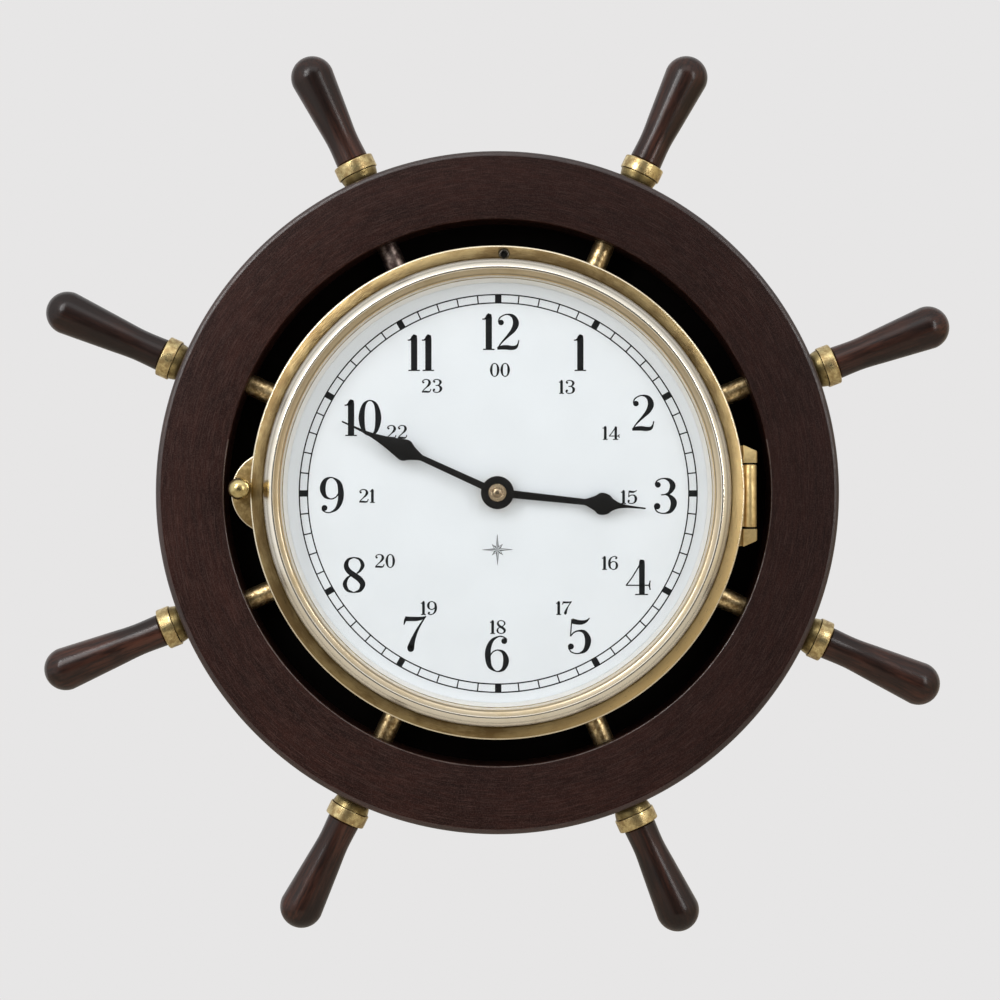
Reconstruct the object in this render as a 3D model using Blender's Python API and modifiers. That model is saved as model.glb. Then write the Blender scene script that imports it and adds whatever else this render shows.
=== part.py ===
"""Ship wheel clock: a turned wooden wheel with eight handles round a hinged brass clock case.

Units are metres. World +Z is up, the wall is the plane y = 0 and the clock faces -Y. Everything is
drawn in the frame of the empty "front", seen as a person facing the clock sees it: x to the right,
y up, z out of the wall towards that person. A height above the wall is called a depth below.

Angles named CLOCKWISE are read from 12 o'clock. All other angles run anticlockwise from 3 o'clock.
"""

import math
from typing import NamedTuple

import bmesh
import bpy
from mathutils import Matrix, Vector

OBJECT_NAME = "ship_wheel_clock"

# Gaps and facets
GAP = 0.0003
RUNNING_CLEARANCE = 0.0001
WELD_DISTANCE = 1e-6
OVERLAP = 0.0002
LARGE_SIDES = 56
CASE_SIDES = 48
HANDLE_SIDES = 12
SMALL_SIDES = 16
PIN_SIDES = 12

# Wheel rim
RIM_WIDTH = 0.0255
RIM_THICKNESS = 0.026
RING_GAP = 0.0106
RIM_ROUND = 0.002
RIM_INNER_CHAMFER = 0.0005
RABBET_WIDTH = 0.0022

# Back board
BOARD_THICKNESS = 0.005

# Handles, ferrules and the sockets they stand in
HANDLE_COUNT = 8
FIRST_HANDLE_ANGLE = 22.5
HANDLE_LENGTH = 0.0538
HANDLE_END_RADIUS = 0.0081
HANDLE_MIDDLE_RADIUS = 0.0066
HANDLE_NECK_RADIUS = 0.0059
HANDLE_FOOT_RADIUS = 0.0061
TENON_RADIUS = 0.0044
TENON_LENGTH = 0.0125
SOCKET_CLEARANCE = 0.0003
FERRULE_HEIGHT = 0.0084
FERRULE_RING_RADIUS = 0.0077
FERRULE_BASE_RADIUS = 0.0072
FERRULE_BASE_HEIGHT = 0.0031
FERRULE_GROOVE = 0.0005
FERRULE_CHAMFER = 0.001


class HandleSeat(NamedTuple):
    """One handle's place, drilled by eye on the real wheel.

    Attributes:
        turn: degrees from the even pitch round the rim.
        lean: degrees that the handle leans from the radius.
        reach: extra length of this handle.
    """

    turn: float
    lean: float
    reach: float


HANDLE_SEATS = (
    HandleSeat(-1.5, -0.1, 0.0004),
    HandleSeat(-1.5, -1.7, -0.0014),
    HandleSeat(1.0, 2.0, -0.0020),
    HandleSeat(0.3, -1.8, 0.0023),
    HandleSeat(-0.2, -0.4, 0.0024),
    HandleSeat(-2.5, -1.3, -0.0008),
    HandleSeat(0.5, 1.4, -0.0020),
    HandleSeat(-2.0, 0.5, 0.0009),
)

# Spokes between the clock case and the rim
SPOKE_TURNS = (0.7, -0.9, 1.6, -1.1, 0.9, -2.5, 0.7, -2.5)
SPOKE_FORWARD = 0.001
SPOKE_RADIUS = 0.004
SPOKE_SEAT_LENGTH = 0.0065
SPOKE_THREAD_RADIUS = 0.002
SPOKE_THREAD_END = 0.0010

# Clock case
CASE_WALL = 0.0012
CASE_FOOT_CHAMFER = 0.001
LEDGE_WIDTH = 0.0024
LEDGE_THICKNESS = 0.0012
FLANGE_INSET = 0.0014
FLANGE_THICKNESS = 0.0015

# Movement, from its back to its front
KNOB_CLEARANCE = 0.0004
KNOB_HEIGHT = 0.0017
KNOB_RADIUS = 0.005
COVER_THICKNESS = 0.0012
MOVEMENT_CORNER = 0.003
MOVEMENT_WALL = 0.0012
ROTOR_ROOM = 0.0027
LAYER_PITCH = 0.002
LAYER_COUNT = 5
LAYER_CLEARANCE = 0.0006
WHEEL_THICKNESS = 0.0012
WASHER_THICKNESS = 0.0005
WASHER_RADIUS = 0.010
DIAL_THICKNESS = 0.0008
BUSH_RADIUS = 0.0039

# Battery, a standard R6 cell
BATTERY_RADIUS = 0.0071
BATTERY_BODY_LENGTH = 0.0492
BATTERY_NUB_RADIUS = 0.0027
BATTERY_NUB_LENGTH = 0.001
TROUGH_WALL = 0.001
CONTACT_THICKNESS = 0.0004
CONTACT_WIDTH = 0.0094
CONTACT_HEIGHT = 0.011
CONTACT_BOW = 0.0014

# Hands and what holds them
ARBOR_RADIUS = 0.0016
PIVOT_RADIUS = 0.001
PIPE_WALL = 0.0008
HEX_NUT_ACROSS_FLATS = 0.0104
HEX_NUT_HEIGHT = 0.0018
BUSH_STANDOUT = 0.0005
HAND_THICKNESS = 0.0005
HAND_CLEARANCE = 0.0007
HAND_FIT = 0.00003
HAND_NUT_RADIUS = 0.0037
HAND_NUT_HEIGHT = 0.0019
HAND_NUT_RIM = 0.0005
HAND_BOSS_RADIUS = 0.0061
HOUR_HAND_LENGTH = 0.0551
HOUR_STEM_HALF = 0.0012
HOUR_SPADE_START = 0.0336
HOUR_SPADE_WIDEST = 0.0388
HOUR_SPADE_END = 0.0462
HOUR_SPADE_HALF = 0.0041
HOUR_HAND_CLOCKWISE = 96.1
MINUTE_HAND_LENGTH = 0.0631
MINUTE_STEM_HALF = 0.0011
MINUTE_SPADE_START = 0.0320
MINUTE_SPADE_WIDEST = 0.0376
MINUTE_SPADE_END = 0.0517
MINUTE_SPADE_HALF = 0.0040
MINUTE_HAND_CLOCKWISE = 294.6
HAND_TIP_HALF = 0.0003
HAND_SHOULDER_FULLNESS = 0.62
HAND_WAIST_FULLNESS = 0.5
HAND_POINT_FULLNESS = 0.6


class HandShape(NamedTuple):
    """A spade hand's lengths from its post, and its half-widths."""

    length: float
    stem_half: float
    spade_start: float
    spade_widest: float
    spade_end: float
    spade_half: float


HOUR_HAND = HandShape(
    HOUR_HAND_LENGTH,
    HOUR_STEM_HALF,
    HOUR_SPADE_START,
    HOUR_SPADE_WIDEST,
    HOUR_SPADE_END,
    HOUR_SPADE_HALF,
)
MINUTE_HAND = HandShape(
    MINUTE_HAND_LENGTH,
    MINUTE_STEM_HALF,
    MINUTE_SPADE_START,
    MINUTE_SPADE_WIDEST,
    MINUTE_SPADE_END,
    MINUTE_SPADE_HALF,
)

# Dial and the ring that holds it down
DIAL_RADIUS = 0.0796
DIAL_CLEARANCE = 0.0004
DIAL_RING_HEIGHT = 0.0051
DIAL_RING_FOOT_WIDTH = 0.0019
DIAL_RING_TOP_WIDTH = 0.0005
DIAL_RECESS = 0.0035

# Bezel
BEZEL_OUTER_WALL = 0.0019
BEZEL_INNER_WALL = 0.0018
BEZEL_BACK_RECESS = 0.003
BAND_HEIGHT = 0.0045
BAND_CHAMFER = 0.0006
BAND_WIDTH = 0.0045
GROOVE_WIDTH = 0.0005
GROOVE_DEPTH = 0.0004
SLOPE_WIDTH = 0.0036
SLOPE_CREST = (0.45, 0.15)
SLOPE_SHOULDER = (0.82, 0.50)
RIDGE_OUTSET = 0.0012
RIDGE_HEIGHT = 0.0098
LIP_REACH = 0.0014
LIP_DROP = 0.0017
LIP_THICKNESS = 0.0008

# Glass and its retaining ring
GLASS_OVERLAP = 0.0015
GLASS_THICKNESS = 0.0018
GLASS_RING_WIDTH = 0.0022
GLASS_RING_THICKNESS = 0.0013

# Hinge
HINGE_OFFSET = 0.0023
HINGE_RISE = 0.0014
HINGE_CENTRE_HEIGHT = -0.0012
BARREL_LENGTH = 0.023
BARREL_RADIUS = 0.00243
KNUCKLE_RADIUS = 0.0026
KNUCKLE_GAP = 0.0007
EAR_LENGTH = 0.0067
EAR_SLOPE = 0.0024
EAR_ROOT = 0.0065
HINGE_PIN_RADIUS = 0.001
HINGE_PIN_CLEARANCE = 0.00008
HINGE_PIN_FIT = 0.00003
WEB_THICKNESS = 0.0021

# Latch at 9 o'clock
TAB_THICKNESS = 0.002
TAB_RADIUS = 0.0152
TAB_CENTRE_INSET = 0.0079
TAB_ROOT = 0.0023
LATCH_OUTSET = 0.0037
LATCH_HEIGHT = 0.0014
LATCH_BALL_RADIUS = 0.0041
LATCH_NECK_RADIUS = 0.0016
LATCH_COLLAR_RADIUS = 0.0024
LATCH_COLLAR_HEIGHT = 0.0011
LATCH_SPINDLE_RADIUS = 0.0012
LATCH_SPINDLE_CLEARANCE = 0.0001
CLAW_LENGTH = 0.0085
CLAW_WIDTH = 0.0042
CLAW_THICKNESS = 0.0015
CLAW_FIT = 0.00003

# Screw in the bezel at 12 o'clock
TOP_SCREW_X = 0.0024
TOP_SCREW_INSET = 0.0034
TOP_SCREW_HEAD_RADIUS = 0.0025
TOP_SCREW_HEAD_HEIGHT = 0.001
TOP_SCREW_SHANK_RADIUS = 0.0015
TOP_SCREW_SINK = 0.0003
TOP_SCREW_KEY = 0.0022
TOP_SCREW_BOSS_WALL = 0.0012

# Hanger at the back of the rim
HANGER_WIDTH = 0.036
HANGER_HEIGHT = 0.018
HANGER_THICKNESS = 0.0015
HANGER_SINK = 0.0019
HANGER_INSET = 0.012
HANGER_CORNER = 0.002
KEYHOLE_RADIUS = 0.0045
KEYHOLE_SLOT_RADIUS = 0.0022
KEYHOLE_RISE = 0.0085
HANGER_POCKET_DEPTH = 0.0075
HANGER_POCKET_WIDTH = 0.014
HANGER_SCREW_SPACING = 0.028
HANGER_SCREW_HEAD_RADIUS = 0.0027
HANGER_SCREW_HEAD_HEIGHT = 0.0012
HANGER_SCREW_RADIUS = 0.0013
HANGER_SCREW_LENGTH = 0.011

# Depths, each resting on the one before
RABBET_DEPTH = BOARD_THICKNESS + GAP
CASE_BACK = BOARD_THICKNESS + GAP
CASE_FLOOR = CASE_BACK + CASE_WALL
KNOB_BACK = CASE_FLOOR + KNOB_CLEARANCE
COVER_BACK = KNOB_BACK + KNOB_HEIGHT + GAP
COVER_FRONT = COVER_BACK + COVER_THICKNESS
MOVEMENT_BACK = COVER_FRONT + GAP
MOVEMENT_DEPTH = MOVEMENT_WALL + LAYER_CLEARANCE + LAYER_COUNT * LAYER_PITCH + ROTOR_ROOM
MOVEMENT_FRONT = MOVEMENT_BACK + MOVEMENT_DEPTH
MOVEMENT_INSIDE = MOVEMENT_FRONT - MOVEMENT_WALL
WASHER_BACK = MOVEMENT_FRONT + GAP
DIAL_BACK = WASHER_BACK + WASHER_THICKNESS + GAP
DIAL_FRONT = DIAL_BACK + DIAL_THICKNESS
LEDGE_FRONT = DIAL_BACK - GAP
FLANGE_FRONT = DIAL_FRONT + DIAL_RECESS
HEX_NUT_BACK = DIAL_FRONT + GAP
BUSH_FRONT = HEX_NUT_BACK + HEX_NUT_HEIGHT + BUSH_STANDOUT
HOUR_HAND_BACK = BUSH_FRONT + BUSH_STANDOUT
PIPE_FRONT = HOUR_HAND_BACK + HAND_THICKNESS + BUSH_STANDOUT
MINUTE_HAND_BACK = PIPE_FRONT + HAND_CLEARANCE
HAND_NUT_BACK = MINUTE_HAND_BACK + HAND_THICKNESS + GAP
ARBOR_FRONT = HAND_NUT_BACK + HAND_NUT_RIM + GAP
BEZEL_BACK = FLANGE_FRONT + GAP
BAND_FRONT = BEZEL_BACK + BAND_HEIGHT
RIDGE_FRONT = BEZEL_BACK + RIDGE_HEIGHT
LIP_FRONT = RIDGE_FRONT - LIP_DROP
LIP_BACK = LIP_FRONT - LIP_THICKNESS
GLASS_FRONT = LIP_BACK - GAP
GLASS_BACK = GLASS_FRONT - GLASS_THICKNESS
GLASS_RING_FRONT = GLASS_BACK - GAP
HINGE_DEPTH = BEZEL_BACK + HINGE_RISE
CLAW_FRONT = FLANGE_FRONT - FLANGE_THICKNESS - GAP

# Radii, each standing on the one before
CASE_BORE_RADIUS = DIAL_RADIUS + DIAL_CLEARANCE
CASE_RADIUS = CASE_BORE_RADIUS + CASE_WALL
GLASS_RADIUS = DIAL_RADIUS + GLASS_OVERLAP
BEZEL_BORE_RADIUS = GLASS_RADIUS + GAP
LIP_RADIUS = GLASS_RADIUS - LIP_REACH
RIDGE_RADIUS = GLASS_RADIUS + RIDGE_OUTSET
GROOVE_RADIUS = RIDGE_RADIUS + SLOPE_WIDTH
BAND_INNER_RADIUS = GROOVE_RADIUS + GROOVE_WIDTH
BEZEL_RADIUS = BAND_INNER_RADIUS + BAND_WIDTH
FLANGE_RADIUS = BEZEL_RADIUS - FLANGE_INSET
RIM_BORE_RADIUS = BEZEL_RADIUS + RING_GAP
RIM_RADIUS = RIM_BORE_RADIUS + RIM_WIDTH

# Places that follow
HANDLE_DEPTH = RIM_THICKNESS / 2
SPOKE_DEPTH = HANDLE_DEPTH + SPOKE_FORWARD
HANGER_CENTRE = RIM_RADIUS - HANGER_INSET
TAB_CENTRE_X = TAB_CENTRE_INSET - BEZEL_RADIUS
LATCH_X = -BEZEL_RADIUS - LATCH_OUTSET
TOP_SCREW_HEIGHT = BEZEL_RADIUS - TOP_SCREW_INSET
PIPE_BORE_RADIUS = ARBOR_RADIUS + RUNNING_CLEARANCE
PIPE_RADIUS = PIPE_BORE_RADIUS + PIPE_WALL
BUSH_BORE_RADIUS = PIPE_RADIUS + RUNNING_CLEARANCE
HINGE_X = BEZEL_RADIUS + HINGE_OFFSET
CELL_LENGTH = BATTERY_BODY_LENGTH + BATTERY_NUB_LENGTH
MOVEMENT_INNER_HALF = (CELL_LENGTH + 2 * CONTACT_THICKNESS + CONTACT_BOW + 4 * GAP) / 2
MOVEMENT_HALF = MOVEMENT_INNER_HALF + MOVEMENT_WALL
BATTERY_HEIGHT = GAP + BATTERY_RADIUS - MOVEMENT_INNER_HALF
TROUGH_TOP = BATTERY_HEIGHT + BATTERY_RADIUS + GAP
TRAIN_FLOOR = TROUGH_TOP + TROUGH_WALL
BATTERY_DEPTH = MOVEMENT_INSIDE - GAP - BATTERY_RADIUS

# Gear teeth, in modules above and below the pitch circle and in pitches either side of a tooth's middle
TOOTH_ADDENDUM = 0.8
TOOTH_DEDENDUM = 1.15
TOOTH_TIP_HALF = 0.09
TOOTH_ROOT_HALF = 0.28

# Motion work: the minute pinion turns an idler, which turns the hour wheel twelve times slower
MINUTE_PINION_TEETH = 12
IDLER_TEETH = 36
IDLER_PINION_TEETH = 10
HOUR_WHEEL_TEETH = 40
KNOB_GEAR_TEETH = 18
MINUTE_MODULE = 0.0004
IDLER_DISTANCE = MINUTE_MODULE * (MINUTE_PINION_TEETH + IDLER_TEETH) / 2
HOUR_MODULE = 2 * IDLER_DISTANCE / (IDLER_PINION_TEETH + HOUR_WHEEL_TEETH)
IDLER_ANGLE = 150.0
KNOB_DISTANCE = MINUTE_MODULE * (IDLER_TEETH + KNOB_GEAR_TEETH) / 2
KNOB_ANGLE = 150.0
IDLER_POST_RADIUS = 0.0008
KNOB_SHAFT_RADIUS = 0.0015
KNOB_PIVOT_RADIUS = 0.0008

# Motor train: the rotor turns 360 times an hour, one step in five seconds
TRAIN_PINION_TEETH = 6
CENTRE_WHEEL_TEETH = 60
THIRD_WHEEL_TEETH = 36
FOURTH_WHEEL_TEETH = 36
CENTRE_MODULE = 0.00032
THIRD_MODULE = 0.00036
FOURTH_MODULE = 0.0003
THIRD_ANGLE = 35.0
FOURTH_ANGLE = 80.0
ROTOR_ANGLE = 180.0
TRAIN_ARBOR_RADIUS = 0.00045
TRAIN_WHEEL_THICKNESS = 0.001
PINION_OVERHANG = 0.0002
MAGNET_RADIUS = 0.003
MAGNET_HEIGHT = 0.0024

# Stator, coil and circuit board, placed from the rotor and from the movement's walls
STATOR_THICKNESS = 0.0008
STATOR_REAR_GAP = 0.0013
STATOR_LEFT = 0.0122
STATOR_RIGHT = 0.0121
STATOR_BOTTOM = 0.0046
STATOR_TOP = 0.011
STATOR_LEG_WIDTH = 0.0035
STATOR_BRIDGE = 0.0045
STATOR_BORE_CLEARANCE = 0.0004
ARBOR_HOLE_CLEARANCE = 0.0005
COIL_RADIUS = 0.0024
COIL_RISE = 0.0085
COIL_END_GAP = 0.0008
CORE_WIDTH = 0.0022
CORE_THICKNESS = 0.0008
POST_RADIUS = 0.001
BOARD_CARD_WIDTH = 0.0155
BOARD_CARD_HEIGHT = 0.0124
BOARD_CARD_THICKNESS = 0.0008
BOARD_CARD_MARGIN = 0.0006
CHIP_RADIUS = 0.0025
CHIP_HEIGHT = 0.0012

Point = tuple[float, float]


class Paint(NamedTuple):
    """Colour, roughness and metallic value of one material."""

    colour: tuple[float, float, float]
    roughness: float
    metallic: float


PAINTS = {
    "dark_rosewood": Paint((0.042, 0.020, 0.016), 0.35, 0.0),
    "rim_wood": Paint((0.040, 0.022, 0.018), 0.45, 0.0),
    "black_board": Paint((0.010, 0.009, 0.009), 0.4, 0.0),
    "aged_brass": Paint((0.42, 0.27, 0.11), 0.32, 1.0),
    "polished_brass": Paint((0.80, 0.60, 0.30), 0.15, 1.0),
    "steel": Paint((0.55, 0.55, 0.56), 0.3, 1.0),
    "dark_steel": Paint((0.06, 0.055, 0.05), 0.45, 0.8),
    "glass": Paint((0.9, 0.93, 0.94), 0.03, 0.0),
    "dial_white": Paint((0.82, 0.84, 0.86), 0.5, 0.0),
    "hand_black": Paint((0.012, 0.012, 0.013), 0.4, 0.0),
    "black_plastic": Paint((0.02, 0.02, 0.02), 0.5, 0.0),
    "white_plastic": Paint((0.75, 0.75, 0.72), 0.45, 0.0),
    "rubber": Paint((0.03, 0.03, 0.03), 0.8, 0.0),
    "battery_label": Paint((0.05, 0.09, 0.06), 0.4, 0.0),
    "copper_wire": Paint((0.55, 0.22, 0.10), 0.35, 1.0),
    "circuit_green": Paint((0.03, 0.16, 0.07), 0.45, 0.0),
}


def clear_scene() -> None:
    """Removes everything the startup scene holds."""
    for item in list(bpy.data.objects):
        bpy.data.objects.remove(item)


def new_collection(name: str) -> bpy.types.Collection:
    """Makes a collection and links it to the scene."""
    collection = bpy.data.collections.new(name)
    bpy.context.scene.collection.children.link(collection)
    return collection


clear_scene()
PARTS = new_collection(OBJECT_NAME)
CUTTERS = new_collection("cutters")


def new_empty(name: str, location: Vector, parent: bpy.types.Object | None = None) -> bpy.types.Object:
    """Adds an empty that pieces hang on, such as a joint's axis."""
    empty = bpy.data.objects.new(name, None)
    empty.empty_display_size = 0.01
    empty.location = location
    empty.parent = parent
    PARTS.objects.link(empty)
    return empty


FRONT = new_empty("front", Vector((0, 0, 0)))
FRONT.rotation_euler = (math.radians(90), 0, 0)


def material(name: str) -> bpy.types.Material:
    """Returns the named Principled material, made on first use."""
    found = bpy.data.materials.get(name)
    if found:
        return found
    paint = PAINTS[name]
    made = bpy.data.materials.new(name)
    made.use_nodes = True
    shader = made.node_tree.nodes["Principled BSDF"]
    shader.inputs["Base Color"].default_value = (*paint.colour, 1)
    shader.inputs["Roughness"].default_value = paint.roughness
    shader.inputs["Metallic"].default_value = paint.metallic
    return made


def add_piece(
    name: str,
    mesh: bpy.types.Mesh,
    paint: str,
    location: tuple[float, float, float] = (0, 0, 0),
    rotation: tuple[float, float, float] = (0, 0, 0),
    parent: bpy.types.Object = FRONT,
) -> bpy.types.Object:
    """Links a mesh as a named part of the clock."""
    piece = bpy.data.objects.new(name, mesh)
    piece.location = location
    piece.rotation_euler = rotation
    piece.parent = parent
    if not mesh.materials:
        mesh.materials.append(material(paint))
    PARTS.objects.link(piece)
    mesh.shade_smooth()
    mesh.set_sharp_from_angle(angle=math.radians(35))
    return piece


def add_helper(
    name: str,
    mesh: bpy.types.Mesh,
    location: tuple[float, float, float] = (0, 0, 0),
    rotation: tuple[float, float, float] = (0, 0, 0),
    parent: bpy.types.Object = FRONT,
) -> bpy.types.Object:
    """Links a mesh as a Boolean's second shape, which isn't a part itself."""
    helper = bpy.data.objects.new(name, mesh)
    helper.location = location
    helper.rotation_euler = rotation
    helper.parent = parent
    helper.hide_render = True
    helper.display_type = "WIRE"
    CUTTERS.objects.link(helper)
    return helper


def combine(piece: bpy.types.Object, helper: bpy.types.Object, operation: str) -> None:
    """Adds a Boolean of the helper to the piece: UNION or DIFFERENCE."""
    modifier = piece.modifiers.new(helper.name, "BOOLEAN")
    modifier.operation = operation
    modifier.object = helper


def profile_mesh(name: str, profile: list[Point]) -> bpy.types.Mesh:
    """Turns (radius, depth) points into the edges that a Screw modifier sweeps.

    Args:
        name: the mesh's name.
        profile: points that run down the outer side, top to bottom. A profile that starts and ends on
            the axis makes a solid, and any other one is closed into a ring.

    Returns:
        The mesh of edges.
    """
    mesh = bpy.data.meshes.new(name)
    shape = bmesh.new()
    points = [shape.verts.new((radius, 0, depth)) for radius, depth in profile]
    for start, end in zip(points, points[1:]):
        shape.edges.new((start, end))
    if profile[0][0] > 0 or profile[-1][0] > 0:
        shape.edges.new((points[-1], points[0]))
    shape.to_mesh(mesh)
    shape.free()
    return mesh


def screw(piece: bpy.types.Object, sides: int) -> bpy.types.Object:
    """Sweeps the piece's profile once round its own z axis."""
    modifier = piece.modifiers.new("turn", "SCREW")
    modifier.steps = sides
    modifier.render_steps = sides
    modifier.use_merge_vertices = True
    modifier.merge_threshold = WELD_DISTANCE
    modifier.use_smooth_shade = True
    return piece


def turned(name: str, profile: list[Point], paint: str, sides: int, **place) -> bpy.types.Object:
    """Adds a turned part from its (radius, depth) profile."""
    return screw(add_piece(name, profile_mesh(name, profile), paint, **place), sides)


def turned_helper(name: str, profile: list[Point], sides: int, **place) -> bpy.types.Object:
    """Adds a turned cutter or addition from its (radius, depth) profile."""
    return screw(add_helper(name, profile_mesh(name, profile), **place), sides)


def rod(radius: float, low: float, high: float) -> list[Point]:
    """Profile of a plain cylinder between two depths."""
    return [(0, high), (radius, high), (radius, low), (0, low)]


def arc(centre: Point, radius: float, start: float, end: float, steps: int) -> list[Point]:
    """Points along an arc, from the start angle to the end angle in degrees."""
    angles = [math.radians(start + (end - start) * step / steps) for step in range(steps + 1)]
    return [(centre[0] + radius * math.cos(a), centre[1] + radius * math.sin(a)) for a in angles]


def ball_profile(radius: float, centre: float, end: float, steps: int) -> list[Point]:
    """Profile of a ball about a height, from its top down to an angle in degrees."""
    angles = [math.radians(end * step / steps) for step in range(steps + 1)]
    return [(radius * math.sin(a), centre + radius * math.cos(a)) for a in angles]


def circle(centre: Point, radius: float, sides: int = SMALL_SIDES) -> list[Point]:
    """Points round a circle, the first one not repeated."""
    return arc(centre, radius, 0, 360, sides)[:-1]


def bore(centre: Point, radius: float, sides: int = SMALL_SIDES) -> list[Point]:
    """Points round a hole with its flats at the radius, so that it clears a faceted shaft at any turn."""
    return circle(centre, radius / math.cos(math.pi / sides), sides)


def rectangle(left: float, right: float, bottom: float, top: float, corner: float = 0) -> list[Point]:
    """Corners of a rectangle, cut off at 45 degrees where a corner size is given."""
    if corner == 0:
        return [(left, bottom), (right, bottom), (right, top), (left, top)]
    return [
        (left + corner, bottom),
        (right - corner, bottom),
        (right, bottom + corner),
        (right, top - corner),
        (right - corner, top),
        (left + corner, top),
        (left, top - corner),
        (left, bottom + corner),
    ]


def polar(distance: float, degrees: float, start: Point = (0, 0)) -> Point:
    """The point at a distance and an angle from a start."""
    angle = math.radians(degrees)
    return (start[0] + distance * math.cos(angle), start[1] + distance * math.sin(angle))


def plate_mesh(name: str, outlines: list[list[Point]], low: float, high: float) -> bpy.types.Mesh:
    """Extrudes a flat outline, with any holes in it, between two depths.

    Args:
        name: the mesh's name.
        outlines: the outer outline first, then each hole.
        low: depth of the back face.
        high: depth of the front face.

    Returns:
        A closed mesh, made from a filled 2D curve.
    """
    curve = bpy.data.curves.new(name, "CURVE")
    curve.dimensions = "2D"
    curve.fill_mode = "BOTH"
    curve.extrude = (high - low) / 2
    for outline in outlines:
        spline = curve.splines.new("POLY")
        spline.points.add(len(outline) - 1)
        for target, (x, y) in zip(spline.points, outline):
            target.co = (x, y, 0, 1)
        spline.use_cyclic_u = True
    guide = bpy.data.objects.new(name, curve)
    CUTTERS.objects.link(guide)
    bpy.context.view_layer.update()
    graph = bpy.context.evaluated_depsgraph_get()
    mesh = bpy.data.meshes.new_from_object(guide.evaluated_get(graph))
    bpy.data.objects.remove(guide)
    shape = bmesh.new()
    shape.from_mesh(mesh)
    bmesh.ops.remove_doubles(shape, verts=shape.verts, dist=WELD_DISTANCE)
    bmesh.ops.translate(shape, verts=shape.verts, vec=(0, 0, (low + high) / 2))
    bmesh.ops.recalc_face_normals(shape, faces=shape.faces)
    shape.to_mesh(mesh)
    shape.free()
    mesh.name = name
    return mesh


def cylinders_mesh(name: str, sides: int, rods: list[tuple[Matrix, float, float]]) -> bpy.types.Mesh:
    """Joins separate cylinders into one mesh.

    Args:
        name: the mesh's name.
        sides: facets round each cylinder.
        rods: each one's middle and direction as a matrix, its radius and its length.

    Returns:
        The mesh, for one Boolean.
    """
    mesh = bpy.data.meshes.new(name)
    shape = bmesh.new()
    for matrix, radius, length in rods:
        bmesh.ops.create_cone(
            shape,
            cap_ends=True,
            segments=sides,
            radius1=radius,
            radius2=radius,
            depth=length,
            matrix=matrix,
        )
    shape.to_mesh(mesh)
    shape.free()
    return mesh


def standing(point: Point, low: float, high: float) -> Matrix:
    """Matrix of a cylinder along the depth axis, between two depths."""
    return Matrix.Translation((*point, (low + high) / 2))


def lying(angle: float, inner: float, outer: float, depth: float) -> Matrix:
    """Matrix of a cylinder along a radius of the wheel, between two radii."""
    turn = Matrix.Rotation(math.radians(angle), 4, "Z")
    tip = Matrix.Rotation(math.radians(90), 4, "Y")
    return turn @ Matrix.Translation(((inner + outer) / 2, 0, depth)) @ tip


def box_mesh(name: str, low: tuple[float, float, float], high: tuple[float, float, float]) -> bpy.types.Mesh:
    """A box between two corners."""
    mesh = bpy.data.meshes.new(name)
    shape = bmesh.new()
    bmesh.ops.create_cube(shape, size=1)
    bmesh.ops.scale(shape, verts=shape.verts, vec=[b - a for a, b in zip(low, high)])
    bmesh.ops.translate(shape, verts=shape.verts, vec=[(a + b) / 2 for a, b in zip(low, high)])
    shape.to_mesh(mesh)
    shape.free()
    return mesh


def gear_outline(teeth: int, module: float, phase: float) -> list[Point]:
    """Outline of a spur gear with four points to a tooth.

    Args:
        teeth: how many.
        module: pitch diameter over teeth.
        phase: angle of the first tooth's middle, in degrees.

    Returns:
        The outline, anticlockwise.
    """
    tip = module * (teeth / 2 + TOOTH_ADDENDUM)
    root = module * (teeth / 2 - TOOTH_DEDENDUM)
    corners = (
        (root, -TOOTH_ROOT_HALF),
        (tip, -TOOTH_TIP_HALF),
        (tip, TOOTH_TIP_HALF),
        (root, TOOTH_ROOT_HALF),
    )
    pitch = 360 / teeth
    return [
        polar(radius, phase + pitch * (tooth + offset))
        for tooth in range(teeth)
        for radius, offset in corners
    ]


def train_outline(teeth: int, module: float, phase: float) -> list[Point]:
    """Outline of a fine wheel of the motor train, with a point for each tip and each root."""
    tip = module * (teeth / 2 + TOOTH_ADDENDUM)
    root = module * (teeth / 2 - TOOTH_DEDENDUM)
    pitch = 360 / teeth
    return [
        polar(radius, phase + pitch * (tooth + offset))
        for tooth in range(teeth)
        for radius, offset in ((tip, 0.0), (root, 0.5))
    ]


def mesh_phase(driver_teeth: int, driver_phase: float, teeth: int, direction: float) -> float:
    """Phase at which a gear's gap meets its driver's tooth.

    Args:
        driver_teeth: the driver's teeth.
        driver_phase: the driver's phase, in degrees.
        teeth: the driven gear's teeth.
        direction: angle from the driver's centre to the driven gear's.

    Returns:
        The driven gear's phase, in degrees.
    """
    return direction + 180 + 180 / teeth - (driver_phase - direction) * driver_teeth / teeth


def wheel_layer(number: int) -> tuple[float, float]:
    """Back and front depth of the wheels in one layer of the movement, counted from the front."""
    front = MOVEMENT_INSIDE - LAYER_CLEARANCE - number * LAYER_PITCH
    return front - WHEEL_THICKNESS, front


def even_angle(number: int) -> float:
    """Angle of a handle or a spoke on the even pitch."""
    return FIRST_HANDLE_ANGLE + number * 360 / HANDLE_COUNT


def handle_frame(number: int) -> Matrix:
    """Matrix whose z axis runs out along one handle from the rim's surface."""
    seat = HANDLE_SEATS[number % len(HANDLE_SEATS)]
    turn = Matrix.Rotation(math.radians(even_angle(number) + seat.turn), 4, "Z")
    lean = Matrix.Rotation(math.radians(seat.lean), 4, "Z")
    tip = Matrix.Rotation(math.radians(90), 4, "Y")
    return turn @ Matrix.Translation((RIM_RADIUS, 0, HANDLE_DEPTH)) @ lean @ tip


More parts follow.
